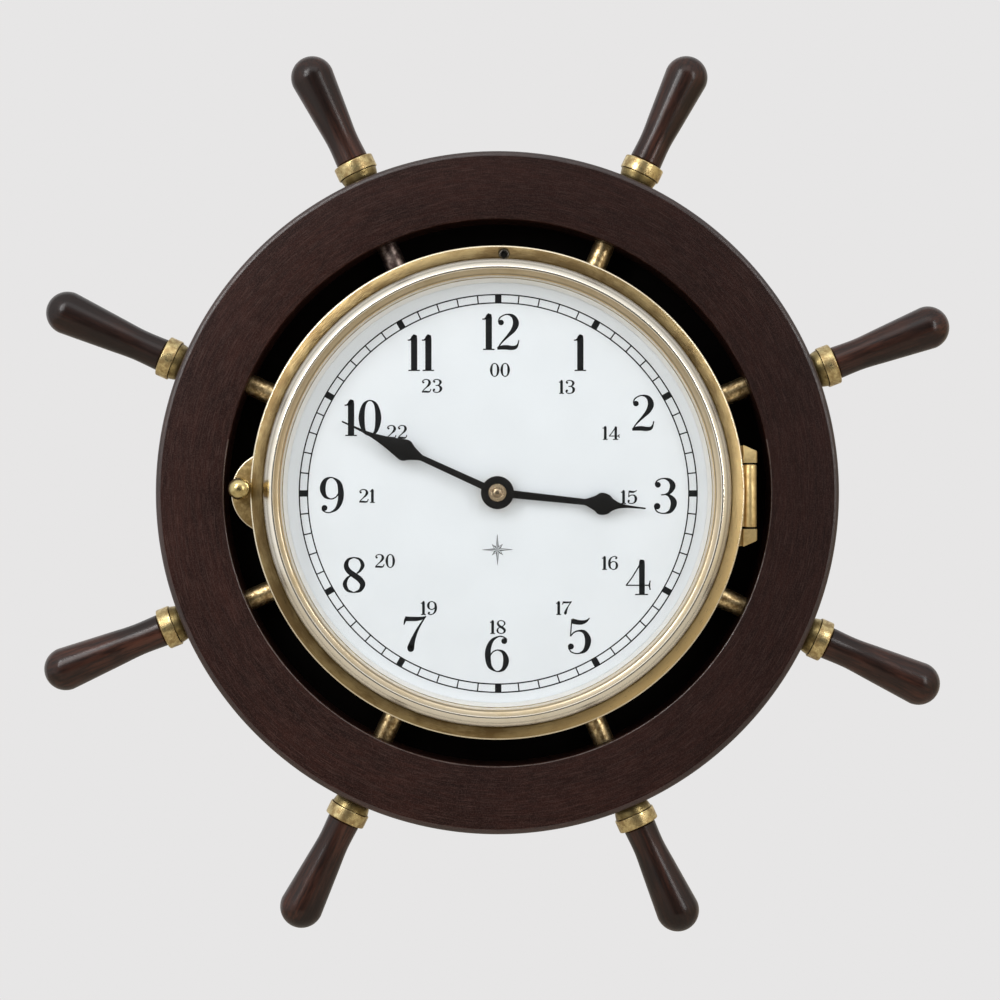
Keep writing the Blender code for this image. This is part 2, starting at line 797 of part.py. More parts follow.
def spoke_angle(number: int) -> float:
    """Angle of one spoke."""
    return even_angle(number) + SPOKE_TURNS[number % len(SPOKE_TURNS)]


def hanger_screw_places() -> list[Point]:
    """Where the hanger's two screws stand."""
    return [(side * HANGER_SCREW_SPACING / 2, HANGER_CENTRE) for side in (-1, 1)]


def add_rim() -> None:
    """The wooden rim, with its rabbet, its sockets and the pocket for the hanger."""
    rounded = arc((RIM_RADIUS - RIM_ROUND, RIM_THICKNESS - RIM_ROUND), RIM_ROUND, 90, 0, 3)
    profile = [
        (RIM_BORE_RADIUS + RIM_INNER_CHAMFER, RIM_THICKNESS),
        *rounded,
        (RIM_RADIUS, RIM_ROUND / 2),
        (RIM_RADIUS - RIM_ROUND / 2, 0),
        (RIM_BORE_RADIUS + RABBET_WIDTH, 0),
        (RIM_BORE_RADIUS + RABBET_WIDTH, RABBET_DEPTH),
        (RIM_BORE_RADIUS, RABBET_DEPTH),
        (RIM_BORE_RADIUS, RIM_THICKNESS - RIM_INNER_CHAMFER),
    ]
    rim = turned("wheel_rim", profile, "rim_wood", LARGE_SIDES)

    socket_depth = TENON_LENGTH + SOCKET_CLEARANCE
    spoke_end = RIM_BORE_RADIUS + SPOKE_SEAT_LENGTH + GAP
    spoke_start = RIM_BORE_RADIUS - SPOKE_RADIUS
    sockets = []
    for number in range(HANDLE_COUNT):
        reach = socket_depth + SPOKE_RADIUS
        middle = handle_frame(number) @ Matrix.Translation((0, 0, reach / 2 - socket_depth))
        sockets.append((middle, TENON_RADIUS + SOCKET_CLEARANCE, reach))
        hole = lying(spoke_angle(number), spoke_start, spoke_end, SPOKE_DEPTH)
        sockets.append((hole, SPOKE_RADIUS + SOCKET_CLEARANCE, spoke_end - spoke_start))
    cutter = add_helper("rim_sockets", cylinders_mesh("rim_sockets", PIN_SIDES, sockets))
    combine(rim, cutter, "DIFFERENCE")
    cut_hanger_seat(rim)


def cut_hanger_seat(rim: bpy.types.Object) -> None:
    """Cuts the hanger's recess, the pocket behind its keyhole and its screws' holes in the rim's back."""
    half_width = HANGER_WIDTH / 2 + GAP
    half_height = HANGER_HEIGHT / 2 + GAP
    recess = rectangle(
        -half_width,
        half_width,
        HANGER_CENTRE - half_height,
        HANGER_CENTRE + half_height,
        HANGER_CORNER,
    )
    recess_depth = HANGER_SINK + HANGER_THICKNESS + GAP
    mesh = plate_mesh("hanger_recess", [recess], -RIM_ROUND, recess_depth)
    combine(rim, add_helper("hanger_recess", mesh), "DIFFERENCE")
    pocket_half_height = half_height - HANGER_CORNER
    pocket = box_mesh(
        "hanger_pocket",
        (-HANGER_POCKET_WIDTH / 2, HANGER_CENTRE - pocket_half_height, 0),
        (HANGER_POCKET_WIDTH / 2, HANGER_CENTRE + pocket_half_height, recess_depth + HANGER_POCKET_DEPTH),
    )
    combine(rim, add_helper("hanger_pocket", pocket), "DIFFERENCE")
    screw_end = HANGER_SINK - GAP + HANGER_SCREW_LENGTH + GAP
    holes = [
        (standing(point, 0, screw_end), HANGER_SCREW_RADIUS + GAP, screw_end)
        for point in hanger_screw_places()
    ]
    mesh = cylinders_mesh("hanger_screw_holes", PIN_SIDES, holes)
    combine(rim, add_helper("hanger_screw_holes", mesh), "DIFFERENCE")


def add_back_board() -> None:
    """The thin board that closes the wheel behind the case."""
    turned(
        "back_board",
        rod(RIM_BORE_RADIUS + RABBET_WIDTH - GAP, 0, BOARD_THICKNESS),
        "black_board",
        LARGE_SIDES,
    )


def handle_profile(length: float) -> list[Point]:
    """Profile of a handle from its rounded end to its tenon, for its length above the rim."""
    foot = FERRULE_HEIGHT + 2 * GAP
    end_centre = length - HANDLE_END_RADIUS
    slope = (end_centre - foot) / 4
    rounded = ball_profile(HANDLE_END_RADIUS, end_centre, 90, 4)
    return [
        *rounded,
        ((HANDLE_END_RADIUS + HANDLE_MIDDLE_RADIUS) / 2, foot + 3 * slope),
        (HANDLE_MIDDLE_RADIUS, foot + 2 * slope),
        (HANDLE_NECK_RADIUS, foot + slope),
        (HANDLE_FOOT_RADIUS, foot),
        (TENON_RADIUS, foot),
        (TENON_RADIUS, -TENON_LENGTH),
        (0, -TENON_LENGTH),
    ]


def ferrule_profile() -> list[Point]:
    """Profile of a ferrule: a narrow base, a groove and a ring."""
    groove_radius = FERRULE_BASE_RADIUS - FERRULE_GROOVE
    groove_top = FERRULE_BASE_HEIGHT + FERRULE_GROOVE
    inner = TENON_RADIUS + SOCKET_CLEARANCE
    top = FERRULE_HEIGHT + GAP
    return [
        (inner, top),
        (FERRULE_RING_RADIUS - FERRULE_CHAMFER, top),
        (FERRULE_RING_RADIUS, top - FERRULE_CHAMFER),
        (FERRULE_RING_RADIUS, groove_top + FERRULE_GROOVE),
        (groove_radius, groove_top),
        (FERRULE_BASE_RADIUS, FERRULE_BASE_HEIGHT),
        (FERRULE_BASE_RADIUS, GAP),
        (inner, GAP),
    ]


def add_handles() -> None:
    """The eight handles, each on its own ferrule."""
    for number in range(HANDLE_COUNT):
        frame = handle_frame(number)
        seat = HANDLE_SEATS[number % len(HANDLE_SEATS)]
        place = {"location": frame.to_translation(), "rotation": frame.to_euler()}
        profile = handle_profile(HANDLE_LENGTH + seat.reach)
        turned(f"handle_{number + 1}", profile, "dark_rosewood", HANDLE_SIDES, **place)
        turned(f"ferrule_{number + 1}", ferrule_profile(), "aged_brass", HANDLE_SIDES, **place)


def add_spokes() -> None:
    """The eight brass spokes that carry the case in the rim, each with a thread through the case's wall."""
    outer = RIM_BORE_RADIUS + SPOKE_SEAT_LENGTH
    inner = CASE_RADIUS + GAP
    thread_end = CASE_BORE_RADIUS - SPOKE_THREAD_END
    profile = [
        (0, outer),
        (SPOKE_RADIUS, outer),
        (SPOKE_RADIUS, inner),
        (SPOKE_THREAD_RADIUS, inner),
        (SPOKE_THREAD_RADIUS, thread_end),
        (0, thread_end),
    ]
    for number in range(HANDLE_COUNT):
        frame = lying(spoke_angle(number), 0, 0, SPOKE_DEPTH)
        turned(
            f"spoke_{number + 1}",
            profile,
            "aged_brass",
            HANDLE_SIDES,
            location=frame.to_translation(),
            rotation=frame.to_euler(),
        )


def add_hanger() -> None:
    """The keyhole plate behind 12 o'clock and its two screws."""
    plate = rectangle(
        -HANGER_WIDTH / 2,
        HANGER_WIDTH / 2,
        HANGER_CENTRE - HANGER_HEIGHT / 2,
        HANGER_CENTRE + HANGER_HEIGHT / 2,
        HANGER_CORNER,
    )
    mouth = HANGER_CENTRE - KEYHOLE_RISE / 2
    top = mouth + KEYHOLE_RISE
    shoulder = math.degrees(math.asin(KEYHOLE_SLOT_RADIUS / KEYHOLE_RADIUS))
    keyhole = arc((0, top), KEYHOLE_SLOT_RADIUS, 0, 180, 6)
    keyhole += arc((0, mouth), KEYHOLE_RADIUS, 90 + shoulder, 450 - shoulder, 14)
    holes = [circle(point, HANGER_SCREW_RADIUS + GAP, PIN_SIDES) for point in hanger_screw_places()]
    mesh = plate_mesh("hanger_plate", [plate, keyhole, *holes], HANGER_SINK, HANGER_SINK + HANGER_THICKNESS)
    add_piece("hanger_plate", mesh, "steel")
    head_front = HANGER_SINK - GAP
    profile = [
        (0, head_front + HANGER_SCREW_LENGTH),
        (HANGER_SCREW_RADIUS, head_front + HANGER_SCREW_LENGTH - HANGER_SCREW_RADIUS),
        (HANGER_SCREW_RADIUS, head_front),
        (HANGER_SCREW_HEAD_RADIUS, head_front),
        (HANGER_SCREW_HEAD_RADIUS, head_front - HANGER_SCREW_HEAD_HEIGHT / 2),
        (HANGER_SCREW_HEAD_RADIUS / 2, head_front - HANGER_SCREW_HEAD_HEIGHT),
        (0, head_front - HANGER_SCREW_HEAD_HEIGHT),
    ]
    for number, point in enumerate(hanger_screw_places(), 1):
        turned(f"hanger_screw_{number}", profile, "steel", PIN_SIDES, location=(*point, 0))


def ear_mesh(name: str, near: float, far: float, far_outer: float) -> bpy.types.Mesh:
    """One hinge ear, drawn across the hinge and extruded along it.

    Args:
        name: the mesh's name.
        near: height of the face beside the barrel.
        far: height of the other face at the case.
        far_outer: height of the other face at the ear's outer side.

    Returns:
        A closed mesh.
    """
    back = FLANGE_FRONT - FLANGE_THICKNESS
    left = HINGE_X - EAR_ROOT
    right = HINGE_X + KNUCKLE_RADIUS
    knuckle = arc((HINGE_X, HINGE_DEPTH), KNUCKLE_RADIUS, 0, 180 + 40, 7)
    outline = [(left, back), (right, back), *knuckle, (left, FLANGE_FRONT)]
    mesh = bpy.data.meshes.new(name)
    shape = bmesh.new()
    face = shape.faces.new([shape.verts.new((x, near, depth)) for x, depth in outline])
    grown = bmesh.ops.extrude_face_region(shape, geom=[face])
    for vertex in (item for item in grown["geom"] if isinstance(item, bmesh.types.BMVert)):
        vertex.co.y = far + (far_outer - far) * (vertex.co.x - left) / (right - left)
    bmesh.ops.recalc_face_normals(shape, faces=shape.faces)
    shape.to_mesh(mesh)
    shape.free()
    return mesh


def add_case() -> None:
    """The brass case: a cup with a front flange, a ledge for the dial and two hinge ears."""
    ledge_radius = CASE_BORE_RADIUS - LEDGE_WIDTH
    profile = [
        (0, CASE_FLOOR),
        (CASE_BORE_RADIUS, CASE_FLOOR),
        (CASE_BORE_RADIUS, LEDGE_FRONT - LEDGE_THICKNESS),
        (ledge_radius, LEDGE_FRONT - LEDGE_THICKNESS),
        (ledge_radius, LEDGE_FRONT),
        (CASE_BORE_RADIUS, LEDGE_FRONT),
        (CASE_BORE_RADIUS, FLANGE_FRONT),
        (FLANGE_RADIUS, FLANGE_FRONT),
        (FLANGE_RADIUS, FLANGE_FRONT - FLANGE_THICKNESS),
        (CASE_RADIUS, FLANGE_FRONT - FLANGE_THICKNESS),
        (CASE_RADIUS, CASE_BACK + CASE_FOOT_CHAMFER),
        (CASE_RADIUS - CASE_FOOT_CHAMFER, CASE_BACK),
        (0, CASE_BACK),
    ]
    case = turned("case", profile, "aged_brass", CASE_SIDES)
    reach = BARREL_LENGTH / 2 + KNUCKLE_GAP
    for name, side in (("upper_ear", 1), ("lower_ear", -1)):
        near = HINGE_CENTRE_HEIGHT + side * reach
        far = near + side * EAR_LENGTH
        ear = ear_mesh(name, near, far, far - side * EAR_SLOPE)
        combine(case, add_helper(name, ear), "UNION")
    pin_length = 2 * (reach + EAR_LENGTH) + EAR_SLOPE
    upright = Matrix.Rotation(math.radians(90), 4, "X")
    holes = [
        (
            Matrix.Translation((HINGE_X, HINGE_CENTRE_HEIGHT, HINGE_DEPTH)) @ upright,
            HINGE_PIN_RADIUS + HINGE_PIN_FIT,
            pin_length,
        )
    ]
    inner = CASE_BORE_RADIUS - SPOKE_RADIUS
    outer = CASE_RADIUS + SPOKE_RADIUS
    for number in range(HANDLE_COUNT):
        frame = lying(spoke_angle(number), inner, outer, SPOKE_DEPTH)
        holes.append((frame, SPOKE_THREAD_RADIUS + GAP, outer - inner))
    combine(case, add_helper("case_holes", cylinders_mesh("case_holes", PIN_SIDES, holes)), "DIFFERENCE")


def add_hinge_pin() -> None:
    """The pin, pressed into the case's ears and free in the bezel's barrel."""
    half = BARREL_LENGTH / 2 + KNUCKLE_GAP + EAR_LENGTH - EAR_SLOPE / 2
    turned(
        "hinge_pin",
        rod(HINGE_PIN_RADIUS, -half, half),
        "steel",
        PIN_SIDES,
        location=(HINGE_X, HINGE_CENTRE_HEIGHT, HINGE_DEPTH),
        rotation=(math.radians(90), 0, 0),
    )


def bezel_profile() -> list[Point]:
    """Section of the bezel: lip, cove, ridge, outer slope, groove, band and hollow back."""
    slope_drop = RIDGE_FRONT - BAND_FRONT
    recess = BEZEL_BACK + BEZEL_BACK_RECESS
    inner_wall = BEZEL_BORE_RADIUS + BEZEL_INNER_WALL
    return [
        (LIP_RADIUS, LIP_FRONT),
        ((LIP_RADIUS + RIDGE_RADIUS) / 2, (LIP_FRONT + RIDGE_FRONT) / 2 - LIP_DROP / 6),
        (RIDGE_RADIUS, RIDGE_FRONT),
        (RIDGE_RADIUS + SLOPE_CREST[0] * SLOPE_WIDTH, RIDGE_FRONT - SLOPE_CREST[1] * slope_drop),
        (RIDGE_RADIUS + SLOPE_SHOULDER[0] * SLOPE_WIDTH, RIDGE_FRONT - SLOPE_SHOULDER[1] * slope_drop),
        (GROOVE_RADIUS, BAND_FRONT - GROOVE_DEPTH),
        (BAND_INNER_RADIUS, BAND_FRONT - GROOVE_DEPTH),
        (BAND_INNER_RADIUS, BAND_FRONT),
        (BEZEL_RADIUS - BAND_CHAMFER, BAND_FRONT),
        (BEZEL_RADIUS, BAND_FRONT - BAND_CHAMFER),
        (BEZEL_RADIUS, BEZEL_BACK),
        (BEZEL_RADIUS - BEZEL_OUTER_WALL, BEZEL_BACK),
        (BEZEL_RADIUS - BEZEL_OUTER_WALL, recess),
        (inner_wall, recess),
        (inner_wall, BEZEL_BACK),
        (BEZEL_BORE_RADIUS, BEZEL_BACK),
        (BEZEL_BORE_RADIUS, LIP_BACK),
        (LIP_RADIUS, LIP_BACK),
    ]


def add_bezel() -> None:
    """The hinged bezel, with its barrel at 3 o'clock and its latch tab at 9 o'clock."""
    hinge = new_empty("bezel_hinge", Vector((HINGE_X, HINGE_CENTRE_HEIGHT, HINGE_DEPTH)), FRONT)
    home = (-HINGE_X, -HINGE_CENTRE_HEIGHT, -HINGE_DEPTH)
    bezel = turned("bezel", bezel_profile(), "polished_brass", LARGE_SIDES, location=home, parent=hinge)

    tab_left = -(BEZEL_RADIUS - TAB_ROOT)
    bow = math.degrees(math.acos((tab_left - TAB_CENTRE_X) / TAB_RADIUS))
    tab = arc((TAB_CENTRE_X, 0), TAB_RADIUS, bow, 360 - bow, 14)
    mesh = plate_mesh("latch_tab", [tab], BEZEL_BACK, BEZEL_BACK + TAB_THICKNESS)
    combine(bezel, add_helper("latch_tab", mesh, location=home, parent=hinge), "UNION")

    web_back = BEZEL_BACK + GAP
    web = box_mesh(
        "hinge_web",
        (BEZEL_RADIUS - BEZEL_OUTER_WALL / 2, HINGE_CENTRE_HEIGHT - BARREL_LENGTH / 2, web_back),
        (HINGE_X, HINGE_CENTRE_HEIGHT + BARREL_LENGTH / 2, web_back + WEB_THICKNESS),
    )
    combine(bezel, add_helper("hinge_web", web, location=home, parent=hinge), "UNION")
    half = BARREL_LENGTH / 2
    across = (math.radians(90), 0, 0)
    profile = rod(BARREL_RADIUS, -half, half)
    barrel = turned_helper("hinge_barrel", profile, SMALL_SIDES, rotation=across, parent=hinge)
    combine(bezel, barrel, "UNION")
    boss_radius = TOP_SCREW_HEAD_RADIUS + GAP + TOP_SCREW_BOSS_WALL
    boss = turned_helper(
        "top_screw_boss",
        rod(boss_radius, BEZEL_BACK + GAP, BEZEL_BACK + BEZEL_BACK_RECESS + OVERLAP),
        SMALL_SIDES,
        location=(TOP_SCREW_X - HINGE_X, TOP_SCREW_HEIGHT - HINGE_CENTRE_HEIGHT, -HINGE_DEPTH),
        parent=hinge,
    )
    combine(bezel, boss, "UNION")

    upright = Matrix.Rotation(math.radians(90), 4, "X")
    pin_hole = Matrix.Translation((HINGE_X, HINGE_CENTRE_HEIGHT, HINGE_DEPTH)) @ upright
    screw_point = (TOP_SCREW_X, TOP_SCREW_HEIGHT)
    latch_point = (LATCH_X, LATCH_HEIGHT)
    sink = BAND_FRONT - TOP_SCREW_SINK - TOP_SCREW_HEAD_HEIGHT - GAP
    tab_front = BEZEL_BACK + TAB_THICKNESS
    holes = [
        (pin_hole, HINGE_PIN_RADIUS + HINGE_PIN_CLEARANCE, BARREL_LENGTH + 2 * KNUCKLE_GAP),
        (standing(screw_point, sink, RIDGE_FRONT), TOP_SCREW_HEAD_RADIUS + GAP, RIDGE_FRONT - sink),
        (
            standing(latch_point, BEZEL_BACK - TAB_THICKNESS, tab_front + TAB_THICKNESS),
            LATCH_SPINDLE_RADIUS + LATCH_SPINDLE_CLEARANCE,
            3 * TAB_THICKNESS,
        ),
    ]
    mesh = cylinders_mesh("bezel_holes", SMALL_SIDES, holes)
    combine(bezel, add_helper("bezel_holes", mesh, location=home, parent=hinge), "DIFFERENCE")
    shank_top = sink + OVERLAP
    shank = [(standing(screw_point, 0, shank_top), TOP_SCREW_SHANK_RADIUS + GAP, shank_top)]
    mesh = cylinders_mesh("bezel_shank_hole", PIN_SIDES, shank)
    combine(bezel, add_helper("bezel_shank_hole", mesh, location=home, parent=hinge), "DIFFERENCE")

    add_glass(hinge, home)
    add_top_screw(hinge, home)
    add_latch(hinge, home)


def add_glass(hinge: bpy.types.Object, home: tuple[float, float, float]) -> None:
    """The glass and the ring that holds it in the bezel."""
    turned(
        "glass",
        rod(GLASS_RADIUS, GLASS_BACK, GLASS_FRONT),
        "glass",
        LARGE_SIDES,
        location=home,
        parent=hinge,
    )
    back = GLASS_RING_FRONT - GLASS_RING_THICKNESS
    inner = GLASS_RADIUS - GLASS_RING_WIDTH
    profile = [
        (inner, GLASS_RING_FRONT),
        (GLASS_RADIUS, GLASS_RING_FRONT),
        (GLASS_RADIUS, back),
        (inner, back),
    ]
    turned("glass_ring", profile, "polished_brass", LARGE_SIDES, location=home, parent=hinge)


def add_top_screw(hinge: bpy.types.Object, home: tuple[float, float, float]) -> None:
    """The socket screw sunk in the bezel's band at 12 o'clock."""
    top = BAND_FRONT - TOP_SCREW_SINK
    under_head = top - TOP_SCREW_HEAD_HEIGHT
    profile = [
        (0, top),
        (TOP_SCREW_HEAD_RADIUS, top),
        (TOP_SCREW_HEAD_RADIUS, under_head),
        (TOP_SCREW_SHANK_RADIUS, under_head),
        (TOP_SCREW_SHANK_RADIUS, BEZEL_BACK + 2 * GAP),
        (0, BEZEL_BACK + 2 * GAP),
    ]
    place = {
        "location": (home[0] + TOP_SCREW_X, home[1] + TOP_SCREW_HEIGHT, home[2]),
        "parent": hinge,
    }
    top_screw = turned("top_screw", profile, "dark_steel", PIN_SIDES, **place)
    key_depth = TOP_SCREW_HEAD_HEIGHT - GAP
    key = turned_helper(
        "top_screw_key",
        rod(TOP_SCREW_KEY / math.sqrt(3), top - key_depth, top + key_depth),
        6,
        **place,
    )
    combine(top_screw, key, "DIFFERENCE")


def add_latch(hinge: bpy.types.Object, home: tuple[float, float, float]) -> None:
    """The ball knob on its spindle, and the claw that it turns behind the case's flange."""
    axis = new_empty("latch_axis", Vector((home[0] + LATCH_X, home[1] + LATCH_HEIGHT, home[2])), hinge)
    collar_back = BEZEL_BACK + TAB_THICKNESS + GAP
    collar_front = collar_back + LATCH_COLLAR_HEIGHT
    ball_centre = collar_front + LATCH_BALL_RADIUS
    neck = 180 - math.degrees(math.asin(LATCH_NECK_RADIUS / LATCH_BALL_RADIUS))
    profile = [
        *ball_profile(LATCH_BALL_RADIUS, ball_centre, neck, 7),
        (LATCH_NECK_RADIUS, collar_front),
        (LATCH_COLLAR_RADIUS, collar_front),
        (LATCH_COLLAR_RADIUS, collar_back),
        (LATCH_SPINDLE_RADIUS, collar_back),
        (LATCH_SPINDLE_RADIUS, CLAW_FRONT - CLAW_THICKNESS - GAP),
        (0, CLAW_FRONT - CLAW_THICKNESS - GAP),
    ]
    turned("latch_knob", profile, "polished_brass", SMALL_SIDES, parent=axis)
    half = CLAW_WIDTH / 2
    tip = CLAW_LENGTH - half
    outline = arc((0, 0), half, 0, 180, 6) + arc((0, -tip), half, 180, 360, 6)
    hole = bore((0, 0), LATCH_SPINDLE_RADIUS + CLAW_FIT)
    mesh = plate_mesh("latch_claw", [outline, hole], CLAW_FRONT - CLAW_THICKNESS, CLAW_FRONT)
    add_piece("latch_claw", mesh, "aged_brass", parent=axis)


def add_dial() -> None:
    """The dial, the ring that holds it on the case's ledge, and the washer and nut that fix the movement."""
    bush_hole = BUSH_RADIUS + GAP
    profile = [
        (bush_hole, DIAL_FRONT),
        (DIAL_RADIUS, DIAL_FRONT),
        (DIAL_RADIUS, DIAL_BACK),
        (bush_hole, DIAL_BACK),
    ]
    turned("dial", profile, "dial_white", CASE_SIDES)
    low = DIAL_FRONT + GAP
    high = low + DIAL_RING_HEIGHT
    outer = CASE_BORE_RADIUS - GAP
    profile = [
        (outer - DIAL_RING_TOP_WIDTH, high),
        (outer, high),
        (outer, low),
        (outer - DIAL_RING_FOOT_WIDTH, low),
    ]
    turned("dial_ring", profile, "polished_brass", CASE_SIDES)
    profile = [
        (bush_hole, WASHER_BACK + WASHER_THICKNESS),
        (WASHER_RADIUS, WASHER_BACK + WASHER_THICKNESS),
        (WASHER_RADIUS, WASHER_BACK),
        (bush_hole, WASHER_BACK),
    ]
    turned("rubber_washer", profile, "rubber", SMALL_SIDES)
    corner = HEX_NUT_ACROSS_FLATS / math.sqrt(3)
    outlines = [circle((0, 0), corner, 6), circle((0, 0), bush_hole)]
    mesh = plate_mesh("hex_nut", outlines, HEX_NUT_BACK, HEX_NUT_BACK + HEX_NUT_HEIGHT)
    add_piece("hex_nut", mesh, "aged_brass")


def hand_outline(shape: HandShape) -> list[Point]:
    """Outline of a hand that points up, round its boss and both sides of its blade."""
    start = math.degrees(math.acos(shape.stem_half / HAND_BOSS_RADIUS))
    boss = arc((0, 0), HAND_BOSS_RADIUS, 180 - start, 360 + start, 18)
    shoulder = (shape.spade_start + shape.spade_widest) / 2
    waist = (shape.spade_widest + shape.spade_end) / 2
    right = [
        (shape.stem_half, shape.spade_start),
        (shape.spade_half * HAND_SHOULDER_FULLNESS, shoulder),
        (shape.spade_half, shape.spade_widest),
        (shape.spade_half * HAND_WAIST_FULLNESS, waist),
        (shape.stem_half * HAND_POINT_FULLNESS, shape.spade_end),
        (HAND_TIP_HALF, shape.length),
    ]
    left = [(-x, along) for x, along in reversed(right)]
    return [*boss, *right, *left]


def add_hand(
    name: str,
    shape: HandShape,
    post_radius: float,
    back: float,
    clockwise: float,
    axis: bpy.types.Object,
) -> None:
    """One flat hand, pushed on its post.

    Args:
        name: the hand's name.
        shape: its outline's sizes.
        post_radius: radius of the pipe or arbor that it fits.
        back: depth of its back face.
        clockwise: where it points at rest, in degrees from 12 o'clock.
        axis: the empty on its joint's axis.
    """
    outlines = [hand_outline(shape), bore((0, 0), post_radius + HAND_FIT)]
    mesh = plate_mesh(name, outlines, back, back + HAND_THICKNESS)
    add_piece(name, mesh, "hand_black", rotation=(0, 0, -math.radians(clockwise)), parent=axis)


def add_hands(arbor_axis: bpy.types.Object, hour_axis: bpy.types.Object) -> None:
    """The two hands and the domed nut in front of them."""
    add_hand("hour_hand", HOUR_HAND, PIPE_RADIUS, HOUR_HAND_BACK, HOUR_HAND_CLOCKWISE, hour_axis)
    add_hand("minute_hand", MINUTE_HAND, ARBOR_RADIUS, MINUTE_HAND_BACK, MINUTE_HAND_CLOCKWISE, arbor_axis)
    front = HAND_NUT_BACK + HAND_NUT_HEIGHT
    thread = ARBOR_RADIUS + HAND_FIT
    rise = HAND_NUT_HEIGHT - HAND_NUT_RIM
    dome = [(HAND_NUT_RADIUS * x, front - rise + rise * y) for x, y in reversed(arc((0, 0), 1, 0, 90, 4))]
    profile = [
        *dome,
        (HAND_NUT_RADIUS, HAND_NUT_BACK),
        (thread, HAND_NUT_BACK),
        (thread, ARBOR_FRONT + GAP),
        (0, ARBOR_FRONT + GAP),
    ]
    turned("hand_nut", profile, "polished_brass", SMALL_SIDES, parent=arbor_axis)


def train_places() -> dict[str, Point]:
    """Centres of the wheels, from the hand arbor at (0, 0)."""
    idler = polar(IDLER_DISTANCE, IDLER_ANGLE)
    third = polar(CENTRE_MODULE * (CENTRE_WHEEL_TEETH + TRAIN_PINION_TEETH) / 2, THIRD_ANGLE)
    fourth = polar(THIRD_MODULE * (THIRD_WHEEL_TEETH + TRAIN_PINION_TEETH) / 2, FOURTH_ANGLE, third)
    return {
        "idler": idler,
        "knob": polar(KNOB_DISTANCE, KNOB_ANGLE, idler),
        "third": third,
        "fourth": fourth,
        "rotor": polar(FOURTH_MODULE * (FOURTH_WHEEL_TEETH + TRAIN_PINION_TEETH) / 2, ROTOR_ANGLE, fourth),
    }


def gear_stack(
    name: str,
    paint: str,
    axis: bpy.types.Object,
    base: list[Point],
    gears: list[tuple[list[Point], float, float]],
) -> bpy.types.Object:
    """Adds a turned arbor or pipe with one or more gears on it as one piece.

    Args:
        name: the piece's name.
        paint: its material.
        axis: the empty on its joint's axis.
        base: profile of the arbor or pipe.
        gears: each one's outline, back depth and front depth.

    Returns:
        The piece.
    """
    piece = turned(name, base, paint, SMALL_SIDES, parent=axis)
    for number, (outline, low, high) in enumerate(gears, 1):
        mesh = plate_mesh(f"{name}_gear_{number}", [outline], low, high)
        combine(piece, add_helper(f"{name}_gear_{number}", mesh, parent=axis), "UNION")
    return piece


def bore_out(piece: bpy.types.Object, axis: bpy.types.Object, radius: float, low: float, high: float) -> None:
    """Drills a hole along a piece's own axis."""
    cutter = turned_helper(f"{piece.name}_bore", rod(radius, low, high), SMALL_SIDES, parent=axis)
    combine(piece, cutter, "DIFFERENCE")


